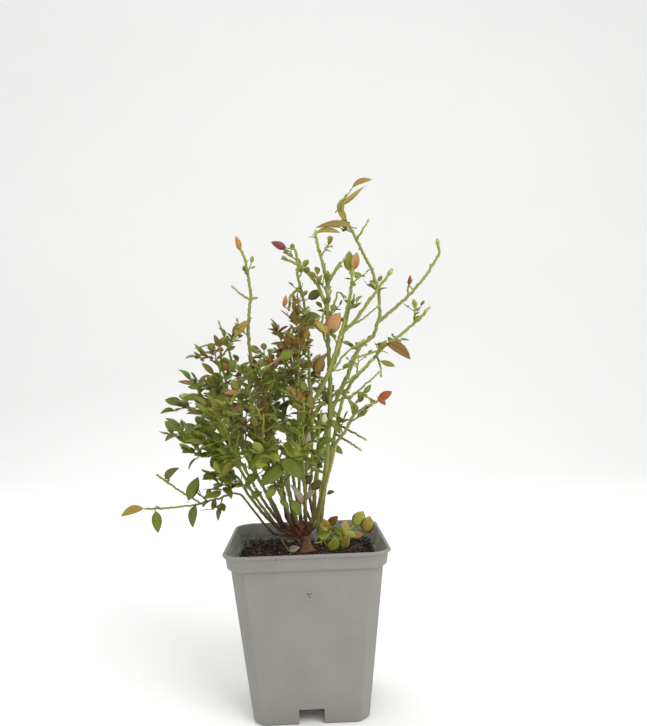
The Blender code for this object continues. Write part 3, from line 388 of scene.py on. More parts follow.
# Leaves that stand out in the photo: where each leaf's root and tip are seen, how far in front of (-)
# or behind (+) the pot's middle it hangs in millimetres, its width as a share of its length, its colour
SEEN_LEAVES = {
    "runner_tip": ((144, 508.5), (120.4, 516), -7, 0.42, "golden"),
    "runner_up": ((165, 479), (175.5, 466.5), -10, 0.60, "olive"),
    "runner_tall": ((188, 500), (198.5, 476), -8, 0.42, "green"),
    "runner_hang": ((195.5, 505), (191, 528), -6, 0.45, "green"),
    "runner_end": ((155.6, 511), (159, 533), -8, 0.48, "green"),
    "runner_small": ((215, 499), (212, 510), -5, 0.50, "olive"),
    "left_shoot_leaf": ((249, 320), (229, 341), 0, 0.34, "golden"),
    "left_reddish": ((237, 372), (210, 362), -8, 0.34, "red"),
    "left_brown": ((239, 372), (248, 360), -9, 0.50, "bronze"),
    "left_red_cluster": ((249, 370), (265, 362), -9, 0.50, "red"),
    "left_red_second": ((250, 372), (258, 380), -9, 0.52, "red"),
    "left_edge_on": ((195, 384), (178, 381), -9, 0.30, "bronze"),
    "left_pair": ((200, 388), (188, 386), -9, 0.42, "green"),
    "left_pair_low": ((202, 398), (184, 396), -9, 0.40, "green"),
    "left_beige": ((242, 392), (224, 391), -16, 0.42, "peach"),
    "left_olive": ((235, 400), (214, 397), -14, 0.50, "olive"),
    "left_olive_low": ((204, 414), (186, 412), -11, 0.46, "olive"),
    "left_big": ((218, 428), (190, 431), -15, 0.48, "green"),
    "left_under": ((222, 452), (201, 448), -18, 0.44, "green"),
    "centre_top_dark": ((308, 299), (322, 290), 4, 0.60, "dark"),
    "centre_peach_left": ((331, 334), (315, 318), -9, 0.50, "golden"),
    "centre_peach": ((326, 335), (341, 313), -10, 0.62, "peach"),
    "centre_bronze": ((316, 374), (322, 356), -12, 0.62, "bronze"),
    "centre_green": ((279, 360), (294, 350), -13, 0.72, "green"),
    "centre_red_dot": ((297, 338), (300, 330), -8, 0.60, "red"),
    "centre_brown": ((292, 346), (305, 334), -7, 0.62, "bronze"),
    "centre_brown_left": ((292, 346), (282, 336), -7, 0.62, "bronze"),
    "centre_olive": ((292, 408), (306, 395), -24, 0.60, "fresh"),
    "low_big": ((273, 449), (247, 468), -31, 0.58, "green"),
    "low_big_second": ((285, 465), (259, 485), -33, 0.56, "green"),
    "low_big_right": ((283, 443), (305, 460), -31, 0.56, "fresh"),
    "low_left": ((258, 474), (245, 487), -24, 0.55, "green"),
    "low_right": ((292, 500), (300, 516), -20, 0.55, "green"),
    "low_dark": ((304, 484), (313, 474), -14, 0.60, "dark"),
    "low_dark_right": ((312, 490), (321, 479), -12, 0.60, "dark"),
    "top_fold": ((352, 227), (315.6, 226.6), -8, 0.11, "golden"),
    "top_leaf": ((346, 222), (337, 203), 3, 0.30, "golden"),
    "top_leaf_upper": ((338, 208), (364, 179), 3, 0.20, "golden"),
    "top_leaf_tip": ((352, 188), (371, 177), 3, 0.30, "golden"),
    "right_bud_leaf": ((352, 272), (347, 251), -3, 0.60, "fresh"),
    "right_bud_beige": ((354, 270), (357, 252), -4, 0.50, "peach"),
    "right_brown_leaf": ((386, 344), (411, 359), -6, 0.42, "bronze"),
    "right_green_leaf": ((380, 361), (395, 367), -6, 0.32, "fresh"),
    "right_red_leaf": ((378, 400), (392, 391), -18, 0.55, "red"),
    "right_red_under": ((378, 397), (386, 405), -19, 0.50, "red"),
    "right_low_leaf": ((368, 397), (356, 392), -19, 0.40, "green"),
    "pale_leaf": ((331, 420), (342, 433), -4, 0.50, "green"),
    "pale_leaf_low": ((333, 445), (343, 454), -4, 0.50, "green"),
    "pale_leaf_dark": ((327, 494), (334, 491), -3, 0.55, "dark"),
    "dead_leaf": ((303, 505), (292, 484), -6, 0.34, "dry"),
    "dead_leaf_curl": ((306, 500), (317, 484), -5, 0.30, "dry"),
    "ghost_leaf": ((307, 450), (309, 431), -8, 0.34, "dry"),
    "low_mid": ((262, 492), (250, 500), -24, 0.55, "green"),
    "low_mid_right": ((276, 486), (266, 498), -26, 0.58, "fresh"),
    "low_centre": ((281, 459), (303, 478), -32, 0.56, "green"),
    "low_centre_under": ((280, 500), (290, 508), -24, 0.55, "green"),
    "low_upper": ((262, 440), (274, 450), -30, 0.60, "olive"),
    "low_upper_left": ((244, 452), (256, 462), -28, 0.58, "green"),
    "round_bright": ((333, 552), (333, 537), 8, 0.90, "fresh"),
    "round_pale": ((343, 549), (346, 534), 14, 0.80, "golden"),
    "round_far": ((366, 533), (369, 517), 24, 0.80, "golden"),
    "round_beige": ((352, 537), (363, 534), 22, 0.70, "peach"),
    "round_brown": ((329, 525), (338, 516), 14, 0.65, "bronze"),
    "round_left": ((329, 531), (317, 518), 14, 0.60, "golden"),
    "round_grey": ((325, 535), (336, 528), 16, 0.75, "olive"),
    "round_grey_right": ((343, 535), (334, 528), 15, 0.70, "green"),
    "lying_leaf": ((289, 551), (300, 547), 6, 0.55, "dry"),
}

# Thin shoots that stand out in the photo, each as places along it, with the depth in millimetres
SEEN_SHOOTS = {
    "pale_left": [(318, 500, -2), (317, 470, -4), (318, 440, -5), (321, 414, -6)],
    "dark_cross": [(289, 480, -14), (299, 465, -12), (308, 452, -10)],
    "fan_tall": [(328, 385, -8), (335, 362, -9), (341, 345, -10), (349, 310, -10), (353, 275, -8)],
    "small_loop": [(333, 318, -4), (335, 302, -6), (338, 292, -6), (343, 295, -6)],
    "low_fan": [(344, 404, -8), (354, 394, -10), (367, 383, -12), (377, 374, -13)],
    "low_fan_side": [(350, 398, -11), (357, 392, -12), (369, 398, -14)],
    "mid_fan": [(335, 400, -8), (350, 380, -11), (370, 362, -12)],
    "cross_fan": [(331, 372, -8), (345, 354, -10), (361, 342, -11)],
    "inner_fan": [(325, 352, -6), (322, 322, -5), (330, 294, -4)],
    "fan_left": [(352, 328, -12), (364, 318, -13), (376, 308, -14)],
    "fan_up": [(355, 323, -12), (362, 312, -12), (368, 301, -12)],
    "top_side": [(358, 240, 5), (362, 231, 4), (367, 222.6, 4)],
    "fork_side": [(331, 280, -4), (337, 270, -5), (343, 261, -6)],
    "low_right_hang": [(345, 395, -4), (355.5, 408, -6), (353.5, 416, -6), (347, 429, -6), (336, 441, -5)],
    "dry_twig": [(343, 437, -4), (351, 443, -6), (358, 448, -8)],
    "dry_twig_up": [(349, 428, -4), (356, 434, -6), (363, 438, -8)],
    "stub": [(378, 357, -5), (380, 365, -5), (381, 373, -5)],
    "right_bend": [(361, 342, -10), (352, 360, -9), (349, 375, -8)],
    "runner_bit": [(229, 492, -2), (229.6, 484, -4), (229.8, 478, -5)],
    "bud_stalk": [(405, 294, 18), (408, 287, 16), (409.7, 281, 15)],
    "fuzzy_stalk": [(351, 330, -13), (358, 316, -14), (369.5, 301, -14), (381, 285, -15), (390, 273, -16)],
    "far_tip": [(399, 337, -6), (415.5, 322, -6), (427, 310, -7)],
    "left_side": [(237, 372, -4), (228, 348, -6), (220, 325, -8)],
    "left_bit": [(226, 342, -7), (212, 344, -8), (200, 347, -9)],
    "tall_bit": [(251, 300, -1), (243, 296, -2), (235, 289, -3)],
}

# Specks of dried peat on the rim and a tick on the front wall: pixel, depth in millimetres, size in metres
SEEN_SPECKS = ((243, 560, -46, 0.0011), (276, 560, -46, 0.0010), (308, 594, -42.0, 0.0012),
               (309.5, 596, -42.0, 0.0011), (311, 594, -42.0, 0.0010), (310, 598, -42.0, 0.0009))

# Buds: where each one's foot and tip are seen, depth in millimetres, thickness as a share, colour
SEEN_BUDS = {
    "left_tall_bud": ((240, 250), (236, 236), -2, 0.42, "bud_orange"),
    "centre_red_bud": ((286, 248), (271, 242), 4, 0.50, "bud_red"),
    "centre_peach_bud": ((284, 307), (286, 295), 1, 0.42, "bud_orange"),
    "right_bud": ((409, 285), (410.5, 275), 15, 0.45, "bud_red"),
    "fuzzy_bud": ((388, 276), (392, 268), -16, 0.55, "bud_green"),
    "far_right_bud": ((438, 246), (437, 238), 19, 0.55, "bud_green"),
    "far_tip_bud": ((424, 313), (428, 308), -7, 0.60, "bud_green"),
    "pale_knob": ((323, 424), (325, 413), -6, 0.60, "bud_pale"),
    "top_stem_bud": ((316, 236), (315.5, 229), -8, 0.50, "bud_green"),
}
BUD_COLOURS = {
    "bud_orange": (0.34, 0.16, 0.04),
    "bud_red": (0.17, 0.032, 0.024),
    "bud_green": (0.30, 0.33, 0.09),
    "bud_pale": (0.52, 0.50, 0.34),
}


def object_from(bm, name, material=None):
    """A new object that holds the bmesh, with its faces turned outwards."""
    bmesh.ops.recalc_face_normals(bm, faces=bm.faces[:])
    mesh = bpy.data.meshes.new(name)
    bm.to_mesh(mesh)
    bm.free()
    if material:
        mesh.materials.append(material)
    obj = bpy.data.objects.new(name, mesh)
    bpy.context.scene.collection.objects.link(obj)
    return obj


def quarter_turn(x, y, quarter):
    """A plan point turned about the pot's middle by a number of right angles."""
    for _ in range(quarter):
        x, y = -y, x
    return x, y


def square_ring(half, corner, bulge, height):
    """Points round a square with its corners cut: bulge 0 is a flat cut and 1 a round corner."""
    ring = []
    for quarter in range(4):
        for step in range(CORNER_STEPS):
            share = step / (CORNER_STEPS - 1)
            angle = share * math.pi / 2
            flat = Vector((half - corner * share, half - corner * (1 - share)))
            centre = half - corner
            arc = Vector((centre + corner * math.cos(angle), centre + corner * math.sin(angle)))
            ring.append((*quarter_turn(*flat.lerp(arc, bulge), quarter), height))
    return ring


def loft(bm, rings):
    """Skins a list of point rings into one closed shape, with a flat cap at each end."""
    loops = [[bm.verts.new(point) for point in ring] for ring in rings]
    for below, above in zip(loops, loops[1:]):
        for i in range(len(below)):
            j = (i + 1) % len(below)
            bm.faces.new((below[i], below[j], above[j], above[i]))
    bm.faces.new(loops[0])
    bm.faces.new(loops[-1])


def tube(bm, path, first, last, sides):
    """A closed tapering tube along a path, from one radius to the other."""
    rings = []
    side = across((path[1] - path[0]).normalized(), 0.4)
    for i, point in enumerate(path):
        along = (path[min(i + 1, len(path) - 1)] - path[max(i - 1, 0)]).normalized()
        side = (side - along * side.dot(along)).normalized()
        other = along.cross(side)
        radius = first + (last - first) * i / (len(path) - 1)
        rings.append([point + (side * math.cos(2 * math.pi * k / sides)
                               + other * math.sin(2 * math.pi * k / sides)) * radius for k in range(sides)])
    loft(bm, rings)


def plain(obj):
    """Keeps the object's evaluated shape as its plain mesh and removes the modifiers."""
    graph = bpy.context.evaluated_depsgraph_get()
    mesh = bpy.data.meshes.new_from_object(obj.evaluated_get(graph))
    obj.modifiers.clear()
    old = obj.data
    obj.data = mesh
    mesh.name = obj.name
    bpy.data.meshes.remove(old)


def edited(obj):
    """A bmesh of the object's mesh, for back_to to put back."""
    bm = bmesh.new()
    bm.from_mesh(obj.data)
    return bm


def back_to(obj, bm):
    bm.to_mesh(obj.data)
    bm.free()


def smoothed(bm):
    for face in bm.faces:
        face.smooth = True


def turned_out(obj):
    """Recalculates a closed mesh's normals outwards and shades it smooth."""
    bm = edited(obj)
    bmesh.ops.remove_doubles(bm, verts=bm.verts[:], dist=1e-6)
    bmesh.ops.recalc_face_normals(bm, faces=bm.faces[:])
    smoothed(bm)
    back_to(obj, bm)
    return obj


def body_half(height):
    """Half the pot's outer width at a height, below the rim band."""
    share = height / (POT_HEIGHT - RIM_BAND)
    return BODY_FOOT_HALF + (BODY_TOP_HALF - BODY_FOOT_HALF) * share


def body_corner(height):
    share = height / (POT_HEIGHT - RIM_BAND)
    return CORNER_FOOT + (CORNER_TOP - CORNER_FOOT) * share


def drain_blocks(name, grow, foot, proud):
    """The room of the drain channels, larger by grow all round and standing proud of the wall."""
    inner = BODY_FOOT_HALF - NOTCH_DEEP - grow
    half = NOTCH_WIDE / 2 + grow
    bm = bmesh.new()
    for quarter in range(4):
        rings = []
        for height in (foot, NOTCH_HIGH + grow):
            outer = body_half(height) + proud
            plan = ((inner, -half), (outer, -half), (outer, half), (inner, half))
            rings.append([(*quarter_turn(x, y, quarter), height) for x, y in plan])
        loft(bm, rings)
    return object_from(bm, name)


def soil_height(x, y):
    """The soil's surface: a low mound at the trunk, with gentle lumps away from it."""
    away = math.hypot(x - TRUNK_FOOT.x, y - TRUNK_FOOT.y)
    mound = SOIL_MOUND * math.exp(-((away / 0.018) ** 2))
    lumps = 0.0007 * math.sin(310 * x + 1.3) * math.cos(270 * y + 0.4) + 0.0004 * math.sin(640 * (x + y))
    level = min(1.0, max(0.0, (away - TRUNK_FLARE) / 0.01))
    return SOIL_TOP - SOIL_MOUND + mound + level * lumps


def smooth_path(points, step=STEP):
    """Points along the smooth curve through the given ones, about a step apart."""
    points = [Vector(point) for point in points]
    ends = [points[0] * 2 - points[1]] + points + [points[-1] * 2 - points[-2]]
    path = [points[0].copy()]
    for before, a, b, after in zip(ends, ends[1:], ends[2:], ends[3:]):
        pieces = max(1, round((b - a).length / step))
        for piece in range(1, pieces + 1):
            t = piece / pieces
            path.append(0.5 * (2 * a + (b - before) * t + (2 * before - 5 * a + 4 * b - after) * t ** 2
                               + (3 * a - before - 3 * b + after) * t ** 3))
    return path


def across(direction, turn):
    """A unit vector square to a direction, turned about it."""
    base = Vector((0, 0, 1)).cross(direction)
    if base.length < 0.1:
        base = Vector((1, 0, 0)).cross(direction)
    base.normalize()
    return base * math.cos(turn) + direction.cross(base) * math.sin(turn)


def at_share(path, share):
    """The point and the direction at a share of a path's length."""
    spans = [(b - a).length for a, b in zip(path, path[1:])]
    left = share * sum(spans)
    for (a, b), span in zip(zip(path, path[1:]), spans):
        if left <= span:
            return a.lerp(b, left / span), (b - a).normalized()
        left -= span
    return path[-1], (path[-1] - path[-2]).normalized()


def length_of(path):
    """The length along a path."""
    return sum((b - a).length for a, b in zip(path, path[1:]))


def marks_along(path, first, last, step=0.0015):
    """Sample points along a path, each with the limb's radius there."""
    marks = []
    for a, b in zip(path, path[1:]):
        pieces = max(1, math.ceil((b - a).length / step))
        marks += [(a.lerp(b, piece / pieces), first) for piece in range(pieces)]
    marks.append((path[-1], last))
    return marks


def tree_of(points):
    """A search tree over a list of points."""
    tree = KDTree(len(points))
    for number, point in enumerate(points):
        tree.insert(point, number)
    tree.balance()
    return tree


def frame_of(along, face):
    """The turn that lays a shape's X along a direction with its Z towards a facing."""
    along = along.normalized()
    face = face - along * face.dot(along)
    if face.length < 1e-5:
        face = Vector((0, 0, 1)).cross(along) + Vector((0.01, 0, 0))
    face.normalize()
    return Matrix((along, face.cross(along), face)).transposed().to_euler()


def crown_point(turn, lean):
    """Where a bough leaves the crown, and the direction it starts in."""
    turn, lean = math.radians(turn), math.radians(lean)
    way = Vector((math.sin(lean) * math.cos(turn), math.sin(lean) * math.sin(turn), math.cos(lean)))
    reach = Vector((way.x * CROWN_REACH.x, way.y * CROWN_REACH.y, way.z * CROWN_REACH.z))
    return CROWN + reach, reach.normalized()


def bough_path(bough):
    start, way = crown_point(bough["turn"], bough["lean"])
    start = start + way * GAP
    return smooth_path([start, start + way * 0.003] + bough["path"])


def mass_stems(name, mass):
    """The mass's own stem, carried on from its bough's tip, and the shoots that leave it."""
    if name == "creeper":
        stem = smooth_path([CREEPER_START] + mass["path"], CREEPER_STEP)
    else:
        limb = bough_path(BOUGHS[name])
        way = (limb[-1] - limb[-2]).normalized()
        stem = smooth_path([limb[-1] + way * GAP] + mass["path"])
    return [stem] + [smooth_path(shoot) for shoot in mass.get("shoots", [])]


class Spaces:
    """Which mass a place belongs to: the one whose own stems are nearest, clear of every limb."""

    def __init__(self, limbs, stems):
        self.limbs = tree_of([point for marks in limbs.values() for point, _ in marks])
        self.radii = [radius for marks in limbs.values() for _, radius in marks]
        self.stems = {name: tree_of([point for point, _ in marks]) for name, marks in stems.items()}

    def holds(self, name, point):
        _, index, distance = self.limbs.find(point)
        if distance < self.radii[index] + LIMB_CLEAR:
            return False
        own = self.stems[name].find(point)[2]
        for other, tree in self.stems.items():
            if other != name and tree.find(point)[2] < own + 2 * SPACE_CLEAR:
                return False
        over_soil = max(abs(point.x), abs(point.y)) < BODY_TOP_HALF - WALL_CLEAR
        return point.z > RIM_CLEAR or (over_soil and point.z > SOIL_CLEAR)


def leaf_points(root, tip, face, wide):
    """The six corners of a leaf: its root, tip and edges, and a low ridge on both faces."""
    along = tip - root
    length = along.length
    along.normalize()
    face = (face - along * face.dot(along)).normalized()
    side = along.cross(face)
    middle = root + along * length * LEAF_WIDEST
    thick = max(length * LEAF_THICK, LEAF_LEAST_THICK) / 2
    return [root, tip, middle + side * length * wide / 2, middle - side * length * wide / 2,
            middle + face * thick, middle - face * thick]


def twig_from(stem, share, turn, length, rng):
    """A side twig that leaves its stem at an angle and bends up towards the light."""
    root, way = at_share(stem, share)
    out = across(way, turn)
    lean = math.radians(rng.uniform(48, 66))
    heading = way * math.cos(lean) + out * math.sin(lean)
    if length < BENT_TWIG:
        return [root, root + (heading + Vector((0, 0, 0.2))).normalized() * length]
    middle = root + heading * length * 0.5
    tip = middle + (heading + Vector((0, 0, 0.45))).normalized() * length * 0.5
    return [root, middle, tip]


def leaf_at(path, share, turn, length, rng):
    """Root, tip, facing and width of a leaf that stands off a twig and lifts its face to the sky."""
    root, way = at_share(path, share)
    out = across(way, turn)
    heading = (way * 0.55 + out * 0.8 + Vector((0, 0, rng.uniform(-0.15, 0.25)))).normalized()
    face = Vector((rng.uniform(-0.5, 0.5), rng.uniform(-0.7, 0.3), 1.0))
    return root, root + heading * length, face, LEAF_WIDE


def grow(name, mass, spaces):
    """The stems, twigs and leaves of one mass. What would leave its space is skipped."""
    rng = random.Random(mass["seed"])
    stems = mass_stems(name, mass)
    twigs = []
    for number in range(mass["twigs"]):
        share = 0.10 + 0.86 * (number + 0.5) / mass["twigs"]
        turn = number * GOLDEN_TURN + mass["seed"]
        length = mass["reach"] * (1.0 - 0.35 * share) * rng.uniform(0.85, 1.10)
        for trim in (1.0, 0.75, 0.5):
            twig = twig_from(stems[0], share, turn, length * trim, rng)
            if all(spaces.holds(name, point) for point, _ in marks_along(twig, 0, 0)[3:]):
                twigs.append(twig)
                break
    blades = []
    for carrier in stems + twigs:
        length = length_of(carrier)
        begin = 0.30 if carrier in twigs else 0.45
        bare = mass["twigs"] < BARE_TWIGS and carrier not in twigs
        count = max(1, round(length * (1 - begin) / (BARE_SPACING if bare else LEAF_SPACING)))
        for number in range(count):
            share = begin + (1 - begin) * (number + 0.5) / count
            turn = number * math.pi + rng.uniform(-0.6, 0.6)
            size = mass["leaf"] * rng.uniform(0.75, 1.10)
            blades.append(leaf_at(carrier, share, turn, size, rng))
        if carrier in twigs:
            root, way = at_share(carrier, 0.96)
            tip = root + (way + Vector((0, 0, 0.15))).normalized() * mass["leaf"] * rng.uniform(0.8, 1.0)
            blades.append((root, tip, TIP_FACE, LEAF_WIDE))
    blades = [blade for blade in blades
              if all(spaces.holds(name, point) for point in leaf_points(*blade)[1:])]
    for root, tip, wide in mass.get("blades", []):
        blades.append((Vector(root), Vector(tip), OUTLINE_FACE, wide))
    return stems, twigs, blades


def add_node(tree, kind, values, settings):
    """A node with its settings, and its inputs set to a value or linked to another node's output."""
    made = tree.nodes.new(kind)
    for key, value in settings.items():
        setattr(made, key, value)
    for key, value in values.items():
        if isinstance(value, bpy.types.NodeSocket):
            tree.links.new(value, made.inputs[key])
        else:
            made.inputs[key].default_value = value
    return made


class Growth:
    """A geometry node tree with named inputs that ends in real geometry with its finish."""

    def __init__(self, name, inputs):
        self.group = bpy.data.node_groups.new(name, "GeometryNodeTree")
        sockets = self.group.interface
        sockets.new_socket("Geometry", in_out="INPUT", socket_type="NodeSocketGeometry")
        for label, kind in inputs.items():
            sockets.new_socket(label, in_out="INPUT", socket_type="NodeSocket" + kind)
        sockets.new_socket("Finish", in_out="INPUT", socket_type="NodeSocketMaterial")
        sockets.new_socket("Geometry", in_out="OUTPUT", socket_type="NodeSocketGeometry")
        self.start = self.group.nodes.new("NodeGroupInput").outputs

    def add(self, kind, values, **settings):
        """A node of the tree. Its first output is what the next node takes."""
        return add_node(self.group, kind, values, settings).outputs[0]

    def read(self, name, kind):
        return self.add("GeometryNodeInputNamedAttribute", {"Name": name}, data_type=kind)

    def end(self, shape):
        real = self.add("GeometryNodeRealizeInstances", {"Geometry": shape})
        done = self.add("GeometryNodeSetMaterial", {"Geometry": real, "Material": self.start["Finish"]})
        add_node(self.group, "NodeGroupOutput", {"Geometry": done}, {})

    def run(self, obj, values):
        """Runs the tree on the object with these inputs and keeps the result as its mesh."""
        modifier = obj.modifiers.new(self.group.name, "NODES")
        modifier.node_group = self.group
        for item in self.group.interface.items_tree:
            if item.in_out == "INPUT" and item.name in values:
                modifier[item.identifier] = values[item.name]
        plain(obj)


def spray_growth():
    """Sets one of several shapes on each point, by the point's own turn, size and variant."""
    growth = Growth("sprays", {"Shapes": "Collection"})
    shapes = growth.add("GeometryNodeCollectionInfo", {
        "Collection": growth.start["Shapes"], "Separate Children": True, "Reset Children": True})
    turn = growth.add("FunctionNodeEulerToRotation", {"Euler": growth.read("turn", "FLOAT_VECTOR")})
    growth.end(growth.add("GeometryNodeInstanceOnPoints", {
        "Points": growth.start["Geometry"], "Instance": shapes, "Pick Instance": True,
        "Instance Index": growth.read("variant", "INT"), "Rotation": turn,
        "Scale": growth.read("size", "FLOAT_VECTOR")}))
    return growth


def limb_growth():
    """Sweeps a round section along each chain of points, by its own radius, with a bark relief."""
    growth = Growth("limbs", {"Sides": "Int", "Relief": "Float", "Relief scale": "Float"})
    curve = growth.add("GeometryNodeMeshToCurve", {"Mesh": growth.start["Geometry"]})
    ring = growth.add("GeometryNodeCurvePrimitiveCircle",
                      {"Resolution": growth.start["Sides"], "Radius": 1.0}, mode="RADIUS")
    limb = growth.add("GeometryNodeCurveToMesh", {
        "Curve": curve, "Profile Curve": ring, "Scale": growth.read("radius", "FLOAT"), "Fill Caps": True})
    grain = growth.add("ShaderNodeTexNoise", {"Scale": growth.start["Relief scale"], "Detail": 3.0})
    level = growth.add("ShaderNodeMath", {0: grain, 1: 0.5}, operation="SUBTRACT")
    height = growth.add("ShaderNodeMath", {0: level, 1: growth.start["Relief"]}, operation="MULTIPLY")
    normal = growth.add("GeometryNodeInputNormal", {})
    offset = growth.add("ShaderNodeVectorMath", {0: normal, "Scale": height}, operation="SCALE")
    rough = growth.add("GeometryNodeSetPosition", {"Geometry": limb, "Offset": offset})
    growth.end(growth.add("GeometryNodeSetShadeSmooth", {"Geometry": rough}))
    return growth


class Finish:
    """A material built from the object's own coordinates and attributes."""

    def __init__(self, name, roughness, specular=0.5):
        self.material = bpy.data.materials.new(name)
        self.material.use_nodes = True
        self.tree = self.material.node_tree
        self.shader = self.tree.nodes["Principled BSDF"]
        self.shader.inputs["Roughness"].default_value = roughness
        self.shader.inputs["Specular IOR Level"].default_value = specular
        self.place = self.add("ShaderNodeTexCoord", {}).outputs["Object"]

    def add(self, kind, values, **settings):
        return add_node(self.tree, kind, values, settings)

    def grain(self, scale, low=0.0, high=1.0, detail=4.0, stretch=(1, 1, 1), rough=0.55):
        """Soft noise at a scale in cycles per metre, spread from low to high into 0 to 1."""
        place = self.add("ShaderNodeMapping", {"Vector": self.place, "Scale": stretch}).outputs[0]
        made = self.add("ShaderNodeTexNoise",
                        {"Vector": place, "Scale": scale, "Detail": detail, "Roughness": rough})
        return self.spread(made.outputs[0], low, high)

    def spread(self, value, low, high, start=0.0, end=1.0):
        """The value's stretch from low to high, laid over start to end and held beyond them."""
        return self.add("ShaderNodeMapRange", {0: value, 1: low, 2: high, 3: start, 4: end}).outputs[0]

    def read(self, name):
        return self.add("ShaderNodeAttribute", {}, attribute_name=name).outputs["Fac"]

    def height(self):
        return self.add("ShaderNodeSeparateXYZ", {0: self.place}).outputs["Z"]

    def times(self, first, second):
        return self.add("ShaderNodeMath", {0: first, 1: second}, operation="MULTIPLY").outputs[0]

    def mix(self, share, first, second):
        """A colour between two: each is a colour or a socket."""
        values = {0: share}
        for key, value in ((6, first), (7, second)):
            values[key] = value if isinstance(value, bpy.types.NodeSocket) else (*value, 1.0)
        return self.add("ShaderNodeMix", values, data_type="RGBA").outputs[2]

    def colour(self, socket):
        self.tree.links.new(socket, self.shader.inputs["Base Color"])

    def roughness(self, socket):
        self.tree.links.new(socket, self.shader.inputs["Roughness"])

    def bump(self, height, distance, strength):
        """Sets the bump, and gives back the finished material."""
        made = self.add("ShaderNodeBump", {"Height": height, "Distance": distance, "Strength": strength})
        self.tree.links.new(made.outputs[0], self.shader.inputs["Normal"])
        return self.material


def leaf_finish(name, upper, edge, rib):
    """A thin leaf: a paler rib, a tinted edge, mottling and a paler underside."""
    finish = Finish(name + "_leaf", 0.5, 0.28)
    tint = finish.read("tint")
    across_leaf = finish.read("across_leaf")
    under = finish.read("under")
    base = finish.mix(tint, tuple(c * 0.72 for c in upper), tuple(c * 1.30 for c in upper))
    mottled = finish.mix(finish.grain(900, 0.40, 0.68), base, edge)
    edged = finish.mix(finish.spread(across_leaf, 0.70, 1.0, 0.0, 0.40), mottled, edge)
    ribbed = finish.mix(finish.spread(across_leaf, 0.09, 0.0, 0.0, 0.42), edged, rib)
    pale = finish.mix(0.42, ribbed, rib)
    finish.colour(finish.mix(under, ribbed, pale))
    return finish.bump(finish.grain(2600, 0.2, 0.8), 0.00012, 0.6)


def stem_finish(name, old, young):
    """Bark that turns from its old colour at the foot to its young one along the limb."""
    finish = Finish(name, 0.55)
    age = finish.spread(finish.read("age"), 0.0, 1.0)
    patches = finish.grain(420, 0.35, 0.65, stretch=(1, 1, 0.35))
    colour = finish.mix(age, old, young)
    darker = finish.mix(patches, colour, tuple(0.55 * (a + b) / 2 for a, b in zip(old, young)))
    finish.colour(finish.mix(finish.grain(1500, 0.45, 0.75), colour, darker))
    return finish.bump(finish.grain(3200, 0.2, 0.8, stretch=(1, 1, 0.3)), 0.0001, 0.8)


def bark_finish():
    """The crown's rough reddish bark with painted orange-brown highlights laid on in patches."""
    finish = Finish("crown_bark", 0.8)
    flakes = finish.grain(700, 0.38, 0.62, stretch=(1, 1, 0.5))
    base = finish.mix(flakes, (0.060, 0.026, 0.016), (0.235, 0.085, 0.034))
    # Painted highlight: the orange-brown patches laid over the bark colour stand in for light on the crown.
    finish.colour(finish.mix(finish.grain(2200, 0.5, 0.72), base, (0.33, 0.17, 0.09)))
    return finish.bump(finish.grain(2400, 0.2, 0.8), 0.0003, 0.9)


def bud_finish(name, colour):
    finish = Finish(name, 0.45)
    scales = finish.grain(1600, 0.35, 0.7, stretch=(1, 1, 0.5))
    finish.colour(finish.mix(scales, colour, tuple(min(1.0, c * 1.5 + 0.01) for c in colour)))
    return finish.bump(finish.grain(3000, 0.2, 0.8), 0.0001, 0.6)


def pot_finish():
    """Grey moulded plastic with a faint grain, rub marks and a little dried soil near the rim."""
    finish = Finish("pot_plastic", 0.5, 0.35)
    grey = finish.mix(finish.grain(38, 0.35, 0.65), (0.243, 0.236, 0.217), (0.268, 0.260, 0.240))
    rubs = finish.grain(520, 0.62, 0.80, detail=8, stretch=(1, 1, 0.25))
    rubbed = finish.mix(rubs, grey, (0.30, 0.292, 0.272))
    specks = finish.grain(610, 0.715, 0.76, detail=2)
    near_rim = finish.spread(finish.height(), 0.078, 0.092)
    marked = finish.mix(finish.times(specks, near_rim), rubbed, (0.055, 0.04, 0.03))
    foot = finish.spread(finish.height(), 0.012, 0.0, 0.0, 0.22)
    finish.colour(finish.mix(foot, marked, (0.24, 0.225, 0.20)))
    finish.roughness(finish.spread(finish.grain(160, 0.3, 0.7), 0.0, 1.0, 0.42, 0.60))
    return finish.bump(finish.grain(1900, 0.2, 0.8, detail=6), 0.00008, 0.5)


def pot_inside_finish():
    """The inner wall above the soil: the same grey, dulled by streaks and stuck peat."""
    finish = Finish("pot_inside", 0.7)
    grey = finish.mix(finish.grain(60, 0.35, 0.65), (0.24, 0.235, 0.22), (0.31, 0.305, 0.285))
    smears = finish.mix(finish.grain(150, 0.54, 0.70, detail=8, rough=0.7), grey, (0.085, 0.066, 0.052))
    near_soil = finish.spread(finish.height(), 0.0900, 0.0835)
    stuck = finish.times(finish.grain(420, 0.40, 0.55, detail=6), near_soil)
    finish.colour(finish.mix(stuck, smears, (0.022, 0.014, 0.010)))
    return finish.bump(finish.grain(900, 0.3, 0.7, detail=6), 0.0002, 0.7)


def peat_finish(name, dark, brown, scale):
    finish = Finish(name, 0.92)
    finish.colour(finish.mix(finish.grain(scale, 0.38, 0.66, detail=6), dark, brown))
    return finish.bump(finish.grain(scale * 2, 0.2, 0.8, detail=6), 0.0005, 1.0)


def floor_finish():
    finish = Finish("studio_floor", 0.9)
    finish.colour(finish.mix(finish.grain(3, 0.3, 0.7), (0.94, 0.94, 0.937), (0.96, 0.96, 0.957)))
    return finish.material


def finished(obj, slot, *nodes):
    """Puts a piece on the plant's body and hides the solids it stands for. Its slot is not used."""
    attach(obj, "root")
    if nodes:
        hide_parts(*nodes)


